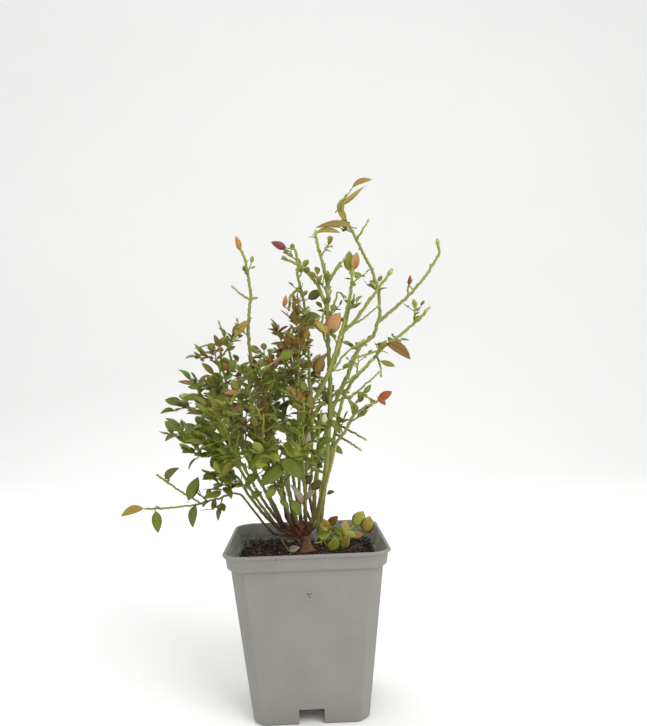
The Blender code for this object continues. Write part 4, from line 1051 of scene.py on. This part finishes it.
def new_piece(name, points, edges, attributes):
    """An object of points and edges. attributes gives each one's name, kind and values."""
    mesh = bpy.data.meshes.new(name)
    mesh.from_pydata(points, edges, [])
    for label, kind, values in attributes:
        field = "vector" if kind == "FLOAT_VECTOR" else "value"
        mesh.attributes.new(label, kind, "POINT").data.foreach_set(field, values)
    obj = bpy.data.objects.new(name, mesh)
    bpy.context.scene.collection.objects.link(obj)
    return obj


def make_sprays(scatter, shapes, kinds, slot, *nodes):
    """A piece for each kind: its spots, each with one of the shapes, in its finish.

    A spot has a place, a turn, a size, the number of its shape and a tint. The shapes are used up.
    """
    group = bpy.data.collections.new("shapes")
    bpy.context.scene.collection.children.link(group)
    for shape in shapes:
        bpy.context.scene.collection.objects.unlink(shape)
        group.objects.link(shape)
    for name, (spots, finish) in kinds.items():
        piece = new_piece(name, [spot["at"] for spot in spots], [], (
            ("turn", "FLOAT_VECTOR", [part for spot in spots for part in spot["turn"]]),
            ("size", "FLOAT_VECTOR", [part for spot in spots for part in spot["size"]]),
            ("variant", "INT", [spot["variant"] for spot in spots]),
            ("tint", "FLOAT", [spot["tint"] for spot in spots])))
        scatter.run(piece, {"Shapes": group, "Finish": finish})
        finished(piece, slot, *nodes)
        nodes = ()
    for shape in shapes:
        bpy.data.objects.remove(shape, do_unlink=True)
    bpy.data.collections.remove(group)


def camera_axes():
    """The photo camera's directions: to its right, up, and away from it."""
    away = Vector((math.sin(CAMERA_YAW) * math.cos(CAMERA_DOWN),
                   math.cos(CAMERA_YAW) * math.cos(CAMERA_DOWN), -math.sin(CAMERA_DOWN)))
    level = Vector((math.cos(CAMERA_YAW), -math.sin(CAMERA_YAW), 0))
    upward = level.cross(away)
    right = level * math.cos(CAMERA_ROLL) - upward * math.sin(CAMERA_ROLL)
    up = upward * math.cos(CAMERA_ROLL) + level * math.sin(CAMERA_ROLL)
    return right, up, away


def seen(px, py, depth):
    """The place in the plant's frame that the photo shows at a pixel, at a depth in millimetres."""
    right, up, away = camera_axes()
    ray = away + right * (px - LENS_CENTRE[0]) / FOCAL_PIXELS - up * (py - LENS_CENTRE[1]) / FOCAL_PIXELS
    return CAMERA_AT + ray * ((depth / 1000 - CAMERA_AT.y) / ray.y)


def make_camera():
    """The photo's camera: above the rim, looking nearly level, and turned as the photo is."""
    right, up, away = camera_axes()
    data = bpy.data.cameras.new("photo_camera")
    data.sensor_width = SENSOR
    data.lens = FOCAL_PIXELS * SENSOR / FRAME_PIXELS[1]
    data.shift_y = (LENS_CENTRE[1] - FRAME_PIXELS[1] / 2) / FRAME_PIXELS[1]
    camera = bpy.data.objects.new("photo_camera", data)
    turn = Matrix((right, up, -away)).transposed().to_4x4()
    camera.matrix_world = Matrix.Translation(CAMERA_AT) @ turn
    bpy.context.scene.collection.objects.link(camera)
    bpy.context.scene.camera = camera


def make_light(name, place, size, power, colour):
    """A square soft light that faces the middle of the bush."""
    data = bpy.data.lights.new(name, "AREA")
    data.size = size
    data.energy = power
    data.color = colour
    light = bpy.data.objects.new(name, data)
    light.location = place
    light.rotation_euler = (LIGHTS_AIM - Vector(place)).to_track_quat("-Z", "Y").to_euler()
    bpy.context.scene.collection.objects.link(light)


def make_studio():
    """A pale floor that curves up behind the plant, a soft key from the right and weaker lights."""
    profile = [(FLOOR_FRONT, 0.0), (FLOOR_BACK, 0.0)]
    for step in range(1, SWEEP_STEPS + 1):
        angle = step * math.pi / (2 * SWEEP_STEPS)
        profile.append((FLOOR_BACK + SWEEP_RADIUS * math.sin(angle),
                        SWEEP_RADIUS - SWEEP_RADIUS * math.cos(angle)))
    profile.append((FLOOR_BACK + SWEEP_RADIUS, BACKDROP_TOP))
    bm = bmesh.new()
    sides = [[bm.verts.new((x, y, z - FLOOR_GAP)) for y, z in profile] for x in (-FLOOR_HALF, FLOOR_HALF)]
    for left, right, far_right, far_left in zip(*sides, sides[1][1:], sides[0][1:]):
        bm.faces.new((left, right, far_right, far_left))
    smoothed(bm)
    object_from(bm, "studio_floor", floor_finish())
    make_light("key_light", (0.60, -0.80, 0.95), 0.7, 8.0, (1.0, 0.985, 0.955))
    make_light("fill_light", (-0.9, -0.6, 0.55), 0.9, 0.8, (0.97, 0.985, 1.0))
    make_light("back_light", (-0.25, 0.75, 0.9), 0.7, 3.0, (1.0, 1.0, 1.0))
    world = bpy.data.worlds.new("studio")
    world.use_nodes = True
    sky = world.node_tree.nodes["Background"].inputs
    sky["Color"].default_value = (1.0, 1.0, 1.0, 1.0)
    sky["Strength"].default_value = 0.78
    bpy.context.scene.world = world
    bpy.context.scene.view_settings.view_transform = "Standard"


def pot_profile():
    """The pot's outer and inner outline: height, half the width, corner and its bulge at each level."""
    band = POT_HEIGHT - RIM_BAND
    outside = [(0.0, BODY_FOOT_HALF - 0.0012, CORNER_FOOT, CUT_BULGE),
               (0.0004, BODY_FOOT_HALF - 0.0004, CORNER_FOOT, CUT_BULGE)]
    outside += [(band * share, body_half(band * share), body_corner(band * share), CUT_BULGE)
                for share in BODY_LEVELS]
    outside += [(band, BODY_TOP_HALF, CORNER_TOP, CUT_BULGE),
                (band + 0.0004, BODY_TOP_HALF + 0.0013, CORNER_TOP + 0.001, 0.4),
                (band + 0.0011, BODY_TOP_HALF + 0.0018, CORNER_TOP + 0.001, 0.5),
                (POT_HEIGHT - 0.0023, RIM_HALF - 0.0013, RIM_CORNER, RIM_BULGE),
                (POT_HEIGHT - 0.0019, RIM_HALF - 0.0004, RIM_CORNER, RIM_BULGE),
                (POT_HEIGHT - 0.0014, RIM_HALF, RIM_CORNER, RIM_BULGE),
                (POT_HEIGHT - 0.0005, RIM_HALF, RIM_CORNER, RIM_BULGE),
                (POT_HEIGHT, RIM_HALF - 0.0005, RIM_CORNER, RIM_BULGE)]
    inside = [(POT_HEIGHT, RIM_HALF - 0.0013, RIM_CORNER - 0.0008, RIM_BULGE),
              (POT_HEIGHT - 0.0005, RIM_HALF - 0.0019, RIM_CORNER - 0.001, RIM_BULGE),
              (band + 0.0020, BODY_TOP_HALF - WALL + 0.0016, CORNER_TOP, 0.5),
              (band, BODY_TOP_HALF - WALL, CORNER_TOP, 0.3),
              (FLOOR_THICK, body_half(FLOOR_THICK) - WALL, CORNER_FOOT, CUT_BULGE)]
    return outside, inside


def make_pot():
    """The moulded pot: chamfered corners, a folded rim with a lip, and a drain channel a side."""
    outside, inside = pot_profile()
    bm = bmesh.new()
    loft(bm, [square_ring(half, corner, bulge, height) for height, half, corner, bulge in outside + inside])
    inner_faces = 4 * CORNER_STEPS * (len(outside) + 1)
    for number, face in enumerate(bm.faces):
        face.material_index = int(number >= inner_faces)
    pot = object_from(bm, "nursery_pot", pot_finish())
    pot.data.materials.append(pot_inside_finish())
    helpers = {"UNION": drain_blocks("drain_housings", WALL, FLOOR_THICK / 2, -WALL / 2),
               "DIFFERENCE": drain_blocks("drain_notches", 0.0, -CUT_PAST, CUT_PAST)}
    for operation, helper in helpers.items():
        modifier = pot.modifiers.new(helper.name, "BOOLEAN")
        modifier.operation = operation
        modifier.solver = "EXACT"
        modifier.object = helper
    rounded = pot.modifiers.new("edges", "BEVEL")
    rounded.width = EDGE_ROUND
    rounded.segments = 2
    rounded.limit_method = "ANGLE"
    rounded.angle_limit = math.radians(30)
    plain(pot)
    for helper in helpers.values():
        bpy.data.objects.remove(helper, do_unlink=True)
    pot.data.shade_smooth()
    pot.data.set_sharp_from_angle(angle=math.radians(32))
    finished(pot, "pot_plastic", "pot")


def soil_point(x, y, half):
    """A point of the soil's rough surface, drawn in where the pot's corner is cut."""
    over = abs(x) + abs(y) - (2 * half - CORNER_TOP)
    if over > 0:
        x -= math.copysign(over / 2, x)
        y -= math.copysign(over / 2, y)
    place = Vector((x, y, 0))
    edge = min(1.0, (half - max(abs(x), abs(y))) / 0.002)
    rough = noise.fractal(place * 420, 1.0, 2.0, 5) * 0.0011 + noise.noise(place * 150) * 0.0008
    return x, y, soil_height(x, y) + rough * max(0.0, edge)


def make_soil():
    """Peat with a crumbly relief, just under the rim. It is closed half way down, out of sight."""
    half = body_half(SOIL_TOP) - WALL - 2 * GAP
    marks = [half * (2 * i / SOIL_GRID - 1) for i in range(SOIL_GRID + 1)]
    bm = bmesh.new()
    rows = [[bm.verts.new(soil_point(x, y, half)) for y in marks] for x in marks]
    for row, next_row in zip(rows, rows[1:]):
        for j in range(SOIL_GRID):
            bm.faces.new((row[j], next_row[j], next_row[j + 1], row[j + 1]))
    border = [edge for edge in bm.edges if edge.is_boundary]
    made = bmesh.ops.extrude_edge_only(bm, edges=border)["geom"]
    shrink = (body_half(SOIL_SKIRT) - WALL - 2 * GAP) / half
    for vert in [item for item in made if isinstance(item, bmesh.types.BMVert)]:
        vert.co = Vector((vert.co.x * shrink, vert.co.y * shrink, SOIL_SKIRT))
    bmesh.ops.contextual_create(bm, geom=[edge for edge in bm.edges if edge.is_boundary])
    bmesh.ops.remove_doubles(bm, verts=bm.verts[:], dist=1e-7)
    peat = peat_finish("peat", (0.010, 0.0065, 0.005), (0.055, 0.030, 0.018), 500)
    finished(turned_out(object_from(bm, "peat_bed", peat)), "peat", "soil")


def make_trunk():
    """The woody crown: a flared foot and a stub for each bough, merged and given bark relief."""
    trunk = bpy.data.objects.new("woody_crown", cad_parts["trunk"].data.copy())
    bpy.context.scene.collection.objects.link(trunk)
    trunk.data.materials.clear()
    trunk.data.materials.append(bark_finish())
    bm = edited(trunk)
    bmesh.ops.remove_doubles(bm, verts=bm.verts[:], dist=1e-6)
    bmesh.ops.subdivide_edges(bm, edges=bm.edges[:], cuts=2, use_grid_fill=True)
    bmesh.ops.smooth_vert(bm, verts=bm.verts[:], factor=0.5,
                          use_axis_x=True, use_axis_y=True, use_axis_z=True)
    bm.normal_update()
    for vert in bm.verts:
        rough = noise.fractal(vert.co * 900, 1.0, 2.0, 4) * 0.00035
        lump = max(0.0, noise.noise(vert.co * 260)) * 0.0008
        if vert.co.z > TRUNK_FOOT.z + 0.0002:
            vert.co += vert.normal * (rough + lump)
    smoothed(bm)
    back_to(trunk, bm)
    finished(trunk, "bark", "trunk")


def leaf_station(v, u, wide, form):
    """A point of a leaf's upper face, v along it and u across it, where -1 and 1 are the edges."""
    fold, droop, curl, twist = form
    side = u * wide
    lift = fold * abs(side) - curl * side * side * 2 - droop * v * v + 0.05 * math.sin(math.pi * v)
    turn = twist * v
    return Vector((v, side * math.cos(turn) - lift * math.sin(turn),
                   side * math.sin(turn) + lift * math.cos(turn)))


def leaf_shape(name, form):
    """A leaf one unit long and wide, closed and thin, with a pointed tip and a short stalk.

    Each place across a row holds one point at an edge, and elsewhere one above and one below.
    """
    bm = bmesh.new()
    across_layer = bm.verts.layers.float.new("across_leaf")
    under_layer = bm.verts.layers.float.new("under")
    rows = []
    for i in range(LEAF_ROWS + 1):
        v = i / LEAF_ROWS
        end = i in (0, LEAF_ROWS)
        wide = 0.0 if end else 0.5 * (math.sin(math.pi * v ** 0.86) ** 0.80)
        row = []
        for u in ((0,) if end else (-1, -0.5, 0, 0.5, 1)):
            edge = end or abs(u) == 1
            pair = []
            for under in ((0,) if edge else (0, 1)):
                vert = bm.verts.new(leaf_station(v, u, wide, form) - Vector((0, 0, LEAF_THIN)) * under)
                vert[across_layer] = abs(u)
                vert[under_layer] = 0.5 if edge else under
                pair.append(vert)
            row.append(pair)
        rows.append(row)
    for below, above in zip(rows, rows[1:]):
        for layer in (0, -1):
            if len(below) == len(above):
                for k in range(len(below) - 1):
                    bm.faces.new((below[k][layer], below[k + 1][layer], above[k + 1][layer], above[k][layer]))
                continue
            point, line = sorted((below, above), key=len)
            for a, b in zip(line, line[1:]):
                bm.faces.new((point[0][0], a[layer], b[layer]))
    tube(bm, LEAF_STALK, 0.035, 0.022, 3)
    return turned_out(object_from(bm, name))


def bud_shape(name, scales):
    """A pointed bud one unit long, its scales laid round it as low ridges."""
    bm = bmesh.new()
    rings = []
    for i in range(7):
        v = (i + 0.15) / 6.3
        radius = 0.5 * math.sin(math.pi * v ** 0.75) ** 0.7
        ring = []
        for k in range(8):
            angle = 2 * math.pi * k / 8
            ridge = 1 + 0.14 * math.cos(scales * (angle + v * 2))
            ring.append(Vector((v, radius * ridge * math.cos(angle), radius * math.sin(angle))))
        rings.append(ring)
    loft(bm, rings)
    return turned_out(object_from(bm, name))


def crumb_shape(name, seed):
    """A lump of peat one unit across."""
    bm = bmesh.new()
    bmesh.ops.create_icosphere(bm, subdivisions=2 if seed % 2 else 1, radius=0.5)
    for vert in bm.verts:
        vert.co *= 0.75 + 0.55 * noise.noise(vert.co * 3 + Vector((seed * 7.1, 0, 0)))
    return object_from(bm, name)


def kinked(path, rng, step=TUBE_STEP, sway=KINK):
    """The path sampled finely, with the small bends of a twig at its leaf joints."""
    fine = []
    count = max(2, round(length_of(path) / step))
    for i in range(count + 1):
        place, way = at_share(path, i / count)
        if 0 < i < count and i % 2 == 0:
            place = place + across(way, rng.uniform(0, 2 * math.pi)) * sway
        fine.append(place)
    return fine


class Limbs:
    """Chains of points with a radius and an age, swept into tubes at the end."""

    def __init__(self):
        self.points = []
        self.edges = []
        self.radius = []
        self.age = []

    def add(self, path, radii, ages, knots=0.0):
        """Adds a limb. radii and ages are at its foot and at its tip, knots its swelling at joints."""
        start = len(self.points)
        for i, place in enumerate(path):
            share = i / (len(path) - 1)
            self.points.append(place)
            swell = 1 + knots * (i % 4 == 0)
            self.radius.append((radii[0] + (radii[1] - radii[0]) * share) * swell)
            self.age.append(ages[0] + (ages[1] - ages[0]) * share)
        self.edges += [(i, i + 1) for i in range(start, start + len(path) - 1)]

    def build(self, name, sweep, finish, sides, relief=0.0, relief_scale=900.0):
        """The chains as one piece, with a bark relief as deep as relief in metres."""
        obj = new_piece(name, self.points, self.edges,
                        (("radius", "FLOAT", self.radius), ("age", "FLOAT", self.age)))
        sweep.run(obj, {"Sides": sides, "Relief": relief, "Relief scale": relief_scale, "Finish": finish})
        bm = edited(obj)
        bmesh.ops.recalc_face_normals(bm, faces=bm.faces[:])
        back_to(obj, bm)
        return obj


def region(name, z):
    """Which of the regions a mass has at a height."""
    if name == "left_runner":
        return "runner"
    if name in BARE_SHOOTS:
        return "bare"
    if name.startswith(PALE_BOUGHS):
        return "shoot"
    if z < LOW_LEAVES:
        return "low"
    return "high" if z > HIGH_LEAVES else "dense"


def twiglets(name, twig, spaces, rng):
    """Finer twigs along one twig, kept in the mass's own space."""
    found = []
    count = int(length_of(twig) / TWIGLET_SPACING)
    for number in range(count):
        share = 0.25 + 0.7 * (number + 0.5) / count
        length = TWIGLET_REACH * rng.uniform(0.6, 1.0)
        fine = twig_from(twig, share, number * GOLDEN_TURN + rng.uniform(0, 1), length, rng)
        if spaces.holds(name, fine[-1]):
            found.append(fine)
    return found


def leaves_along(carrier, size, apart, rng):
    """Leaves set left and right along a twig, with one at its tip: each one's root, tip and facing.

    size and apart are beside the common length and spacing.
    """
    count = max(1, round(length_of(carrier) * (1 - LEAVES_BEGIN) / (LEAF_EVERY * apart)))
    found = []
    for number in range(count):
        share = LEAVES_BEGIN + (1 - LEAVES_BEGIN) * (number + 0.3) / count
        length = size * rng.uniform(*LEAF_LENGTH) * (1.0 - 0.25 * share)
        turn = number * math.pi + rng.uniform(-0.7, 0.7)
        found.append(leaf_at(carrier, share, turn, length, rng)[:3])
    root, way = at_share(carrier, 1.0)
    heading = (way + Vector((rng.uniform(-0.2, 0.2), rng.uniform(-0.2, 0.2), 0.2))).normalized()
    tip = root + heading * size * rng.uniform(*LEAF_LENGTH)
    found.append((root, tip, Vector((rng.uniform(-0.5, 0.5), -0.5, 1.0))))
    return found


class Plant:
    """The bush as it grows: its wood by finish, and its leaves and buds by colour."""

    def __init__(self):
        self.rng = random.Random(PLANT_SEED)
        self.brown = Limbs()
        self.pale = Limbs()
        self.thin = Limbs()
        self.leaves = {colour: [] for colour in LEAF_COLOURS}
        self.buds = {colour: [] for colour in BUD_COLOURS}
        self.wood = []

    def add_wood(self, limbs, path, radii, ages, knots):
        """Adds a limb, and notes where it is for what the photo shows growing on it."""
        limbs.add(path, radii, ages, knots)
        self.wood += path

    def add_leaf(self, colour, root, tip, face, wide):
        length = (tip - root).length
        self.leaves[colour].append(dict(
            at=root, turn=frame_of(tip - root, face), size=(length, length * wide, length * 0.8),
            variant=self.rng.randrange(len(LEAF_FORMS)), tint=self.rng.random()))

    def add_bud(self, colour, root, way, length, wide, face, variant):
        self.buds[colour].append(dict(
            at=root, turn=frame_of(way, face), size=(length, length * wide, length * wide),
            variant=variant, tint=self.rng.random()))

    def add_stalk(self, places, radii):
        """A stalk through the places, where the first is far enough from the last to need one."""
        if (places[0] - places[-1]).length > STALK_LEAST:
            self.thin.add(smooth_path(places, TUBE_STEP), radii, STALK_AGES)

    def grow_boughs(self):
        """The boughs: pale on the side of the long shoots, and brown elsewhere."""
        for name, bough in BOUGHS.items():
            path = kinked(bough_path(bough), self.rng, BOUGH_STEP, BOUGH_KINK)
            limbs, shares, ages = self.brown, BROWN_SHARES, BROWN_AGES
            if name.startswith(PALE_BOUGHS):
                limbs, shares, ages = self.pale, PALE_SHARES, PALE_AGES
            radii = tuple(radius * share for radius, share in zip(bough["radii"], shares))
            self.add_wood(limbs, path, radii, ages, BOUGH_KNOTS)

    def grow_mass(self, name, mass, spaces):
        """The stems, twigs and leaves of one solid mass, and the finer growth on its twigs."""
        stems, twigs, blades = grow(name, mass, spaces)
        radius = CREEPER_RADIUS if name == "creeper" else BOUGHS[name]["radii"][1]
        for number, stem in enumerate(stems):
            stout = SHOOT_STOUT if region(name, stem[-1].z) in ("shoot", "bare") else STEM_STOUT
            radii = (radius * stout * (SIDE_STEM_SHARE if number else 1.0), STEM_TIP * stout)
            self.add_wood(self.thin, kinked(stem, self.rng), radii, STEM_AGES, STEM_KNOTS)
        for twig in twigs:
            self.add_wood(self.thin, kinked(twig, self.rng), TWIG_RADII, TWIG_AGES, TWIG_KNOTS)
            self.grow_sprays(name, twig, spaces)
        # The outline leaves of a bare shoot are left to the leaves seen in the photo
        for root, tip, face, wide in blades:
            if mass["twigs"] < BARE_TWIGS and name != "creeper" and face == OUTLINE_FACE:
                continue
            colour = self.rng.choice(REGIONS[region(name, root.z)]["mix"])
            share = 1.0
            if name == "creeper":
                colour = self.rng.choice(CREEPER_MIX)
            else:
                share = self.rng.uniform(*BLADE_SHARES)
            self.add_leaf(colour, root, root + (tip - root) * share, face, wide)

    def grow_sprays(self, name, twig, spaces):
        """The leaves of a twig and of each of its twiglets, each spray in one colour, and some buds."""
        here = REGIONS[region(name, twig[-1].z)]
        size, apart = BACK_LEAVES if name.startswith("back") else (here["size"], here["apart"])
        for small in [twig] + twiglets(name, twig, spaces, self.rng):
            if small is not twig:
                self.thin.add(kinked(small, self.rng), TWIGLET_RADII, TWIGLET_AGES, STEM_KNOTS)
            colour = self.rng.choice(here["mix"])
            for root, tip, face in leaves_along(small, size, apart, self.rng):
                if spaces.holds(name, tip):
                    self.add_leaf(colour, root, tip, face, self.rng.uniform(*LEAF_WIDTHS))
            if self.rng.random() < BUD_SHARE:
                kind = self.rng.choice(TWIG_BUDS)
                end, way = at_share(small, 1.0)
                self.add_bud(kind, end, way, TWIG_BUD, BUD_WIDE, BUD_FACE, 0)

    def add_seen(self):
        """The shoots, leaves and buds that stand out in the photo, each on the nearest wood."""
        wood = tree_of(self.wood)
        for name, places in SEEN_SHOOTS.items():
            path = [seen(*place) for place in places]
            path = smooth_path([wood.find(path[0])[0]] + path[1:], TUBE_STEP)
            ages = DRY_AGES if name.startswith(("dry", "dark")) else TWIGLET_AGES
            self.thin.add(kinked(path, self.rng), SHOOT_RADII, ages, TWIG_KNOTS)
            tip, way = at_share(path, 1.0)
            self.add_bud("bud_green", tip, way, SHOOT_BUD, BUD_WIDE, BUD_FACE, 0)
        for foot, end, depth, wide, colour in SEEN_LEAVES.values():
            root = seen(*foot, depth)
            tip = seen(*end, depth - TIP_NEARER)
            joint = wood.find(root)[0]
            bend = joint.lerp(root, 0.5) + STALK_SAG
            self.add_stalk([joint, bend, root], LEAF_STALK_RADII)
            face = Vector((self.rng.uniform(-0.3, 0.3), -1.0, self.rng.uniform(0.25, 0.9)))
            self.add_leaf(colour, root, tip, face, wide)
        for foot, end, depth, wide, colour in SEEN_BUDS.values():
            root = seen(*foot, depth)
            way = seen(*end, depth) - root
            self.add_stalk([wood.find(root)[0], root], BUD_STALK_RADII)
            self.add_bud(colour, root, way, way.length, wide, SEEN_BUD_FACE, 1)


def make_bush(scatter, sweep):
    """The boughs, twigs, leaves and buds, grown on by the same rule as the solids."""
    limbs = {name: marks_along(bough_path(bough), *bough["radii"]) for name, bough in BOUGHS.items()}
    masses = dict(MASSES, creeper=CREEPER)
    stems = {name: [mark for path in mass_stems(name, mass) for mark in marks_along(path, 0, 0)]
             for name, mass in masses.items()}
    spaces = Spaces(limbs, stems)
    plant = Plant()
    plant.grow_boughs()
    for name, mass in masses.items():
        plant.grow_mass(name, mass, spaces)
    plant.add_seen()

    bark = stem_finish("woody_stem", (0.085, 0.034, 0.022), (0.215, 0.235, 0.050))
    finished(plant.brown.build("woody_stems", sweep, bark, 9, 0.0004), "green_stem",
             *(name + "_bough" for name in BOUGHS if not name.startswith(PALE_BOUGHS)))
    green = stem_finish("pale_stem", (0.20, 0.13, 0.05), (0.355, 0.395, 0.085))
    finished(plant.pale.build("pale_stems", sweep, green, 9, 0.0003), "green_stem",
             *(name + "_bough" for name in BOUGHS if name.startswith(PALE_BOUGHS)))
    young = stem_finish("young_twig", (0.17, 0.145, 0.035), (0.300, 0.345, 0.055))
    finished(plant.thin.build("twigs", sweep, young, 6, 0.00012, 1500), "green_stem")

    shapes = [leaf_shape(f"leaf_{number}", form) for number, form in enumerate(LEAF_FORMS)]
    kinds = {colour + "_leaves": (spots, leaf_finish(colour, *LEAF_COLOURS[colour]))
             for colour, spots in plant.leaves.items()}
    make_sprays(scatter, shapes, kinds, "foliage", *(name + "_foliage" for name in masses))
    shapes = [bud_shape("bud_0", 2), bud_shape("bud_1", 3)]
    kinds = {colour + "s": (spots, bud_finish(colour, BUD_COLOURS[colour]))
             for colour, spots in plant.buds.items()}
    make_sprays(scatter, shapes, kinds, "foliage")


def make_crumbs(scatter, rng):
    """Loose peat crumbs, a few white grains, and crumbs stuck to the wall and the rim."""
    half = body_half(SOIL_TOP) - WALL - LITTER_CLEAR
    crumbs = {"dark_crumbs": [], "brown_crumbs": [], "white_grains": []}
    for _ in range(LOOSE_CRUMBS):
        x, y = rng.uniform(-half, half), rng.uniform(-half, half)
        if abs(x) + abs(y) > 2 * half - CORNER_TOP:
            continue
        size = 0.0006 + 0.0022 * rng.random() ** 3
        name = "brown_crumbs" if rng.random() < 0.3 else "dark_crumbs"
        crumbs[name].append((Vector((x, y, soil_height(x, y) + size * 0.25)), size))
    for _ in range(WALL_CRUMBS):
        side, along = rng.randrange(4), rng.uniform(-half, half)
        up = rng.random() ** 2 * WALL_CRUMB_RISE
        x, y = quarter_turn(half + 0.0004 + up * 0.15, along * 0.8, side)
        crumbs["dark_crumbs"].append((Vector((x, y, SOIL_TOP + up)), rng.uniform(0.0005, 0.0013)))
    crumbs["dark_crumbs"] += [(seen(px, py, depth), size) for px, py, depth, size in SEEN_SPECKS]
    for _ in range(WHITE_GRAINS):
        x, y = rng.uniform(-half, half), rng.uniform(-half, half)
        place = Vector((x, y, soil_height(x, y) + 0.0006))
        crumbs["white_grains"].append((place, rng.uniform(0.0008, 0.0014)))
    finishes = {"dark_crumbs": peat_finish("dark_crumb", (0.008, 0.005, 0.004), (0.035, 0.02, 0.013), 900),
                "brown_crumbs": peat_finish("brown_crumb", (0.04, 0.018, 0.010), (0.12, 0.055, 0.028), 900),
                "white_grains": peat_finish("white_grain", (0.55, 0.53, 0.48), (0.75, 0.73, 0.68), 900)}
    kinds = {}
    for name, places in crumbs.items():
        kinds[name] = ([dict(at=at, turn=(rng.uniform(0, 6), rng.uniform(0, 6), rng.uniform(0, 6)),
                             size=(size, size * rng.uniform(0.6, 1), size * rng.uniform(0.5, 0.9)),
                             variant=rng.randrange(CRUMB_SHAPES), tint=rng.random())
                        for at, size in places], finishes[name])
    make_sprays(scatter, [crumb_shape(f"crumb_{i}", i) for i in range(CRUMB_SHAPES)], kinds, "peat")


def make_fibres(sweep, rng):
    """Root fibres that lie bent on the peat."""
    half = body_half(SOIL_TOP) - WALL - LITTER_CLEAR
    fibres = Limbs()
    for _ in range(FIBRES):
        x, y = rng.uniform(-half, half) * 0.93, rng.uniform(-half, half) * 0.93
        turn, length = rng.uniform(0, 2 * math.pi), rng.uniform(0.003, 0.009)
        start = Vector((x, y, soil_height(x, y) + 0.0006))
        middle = start + Vector((math.cos(turn), math.sin(turn), rng.uniform(0, 0.5))) * length * 0.5
        turn += rng.uniform(-0.9, 0.9)
        end = middle + Vector((math.cos(turn), math.sin(turn), rng.uniform(-0.5, 0.2))) * length * 0.5
        if max(abs(end.x), abs(end.y)) < half:
            fibres.add(smooth_path([start, middle, end], 0.001), (0.00016, 0.0001), (0, 1))
    finish = stem_finish("fibre", (0.16, 0.07, 0.035), (0.26, 0.13, 0.07))
    finished(fibres.build("peat_fibres", sweep, finish, 4), "peat")


scatter = spray_growth()
sweep = limb_growth()
litter = random.Random(LITTER_SEED)
make_camera()
make_studio()
make_pot()
make_soil()
make_trunk()
make_bush(scatter, sweep)
make_crumbs(scatter, litter)
make_fibres(sweep, litter)
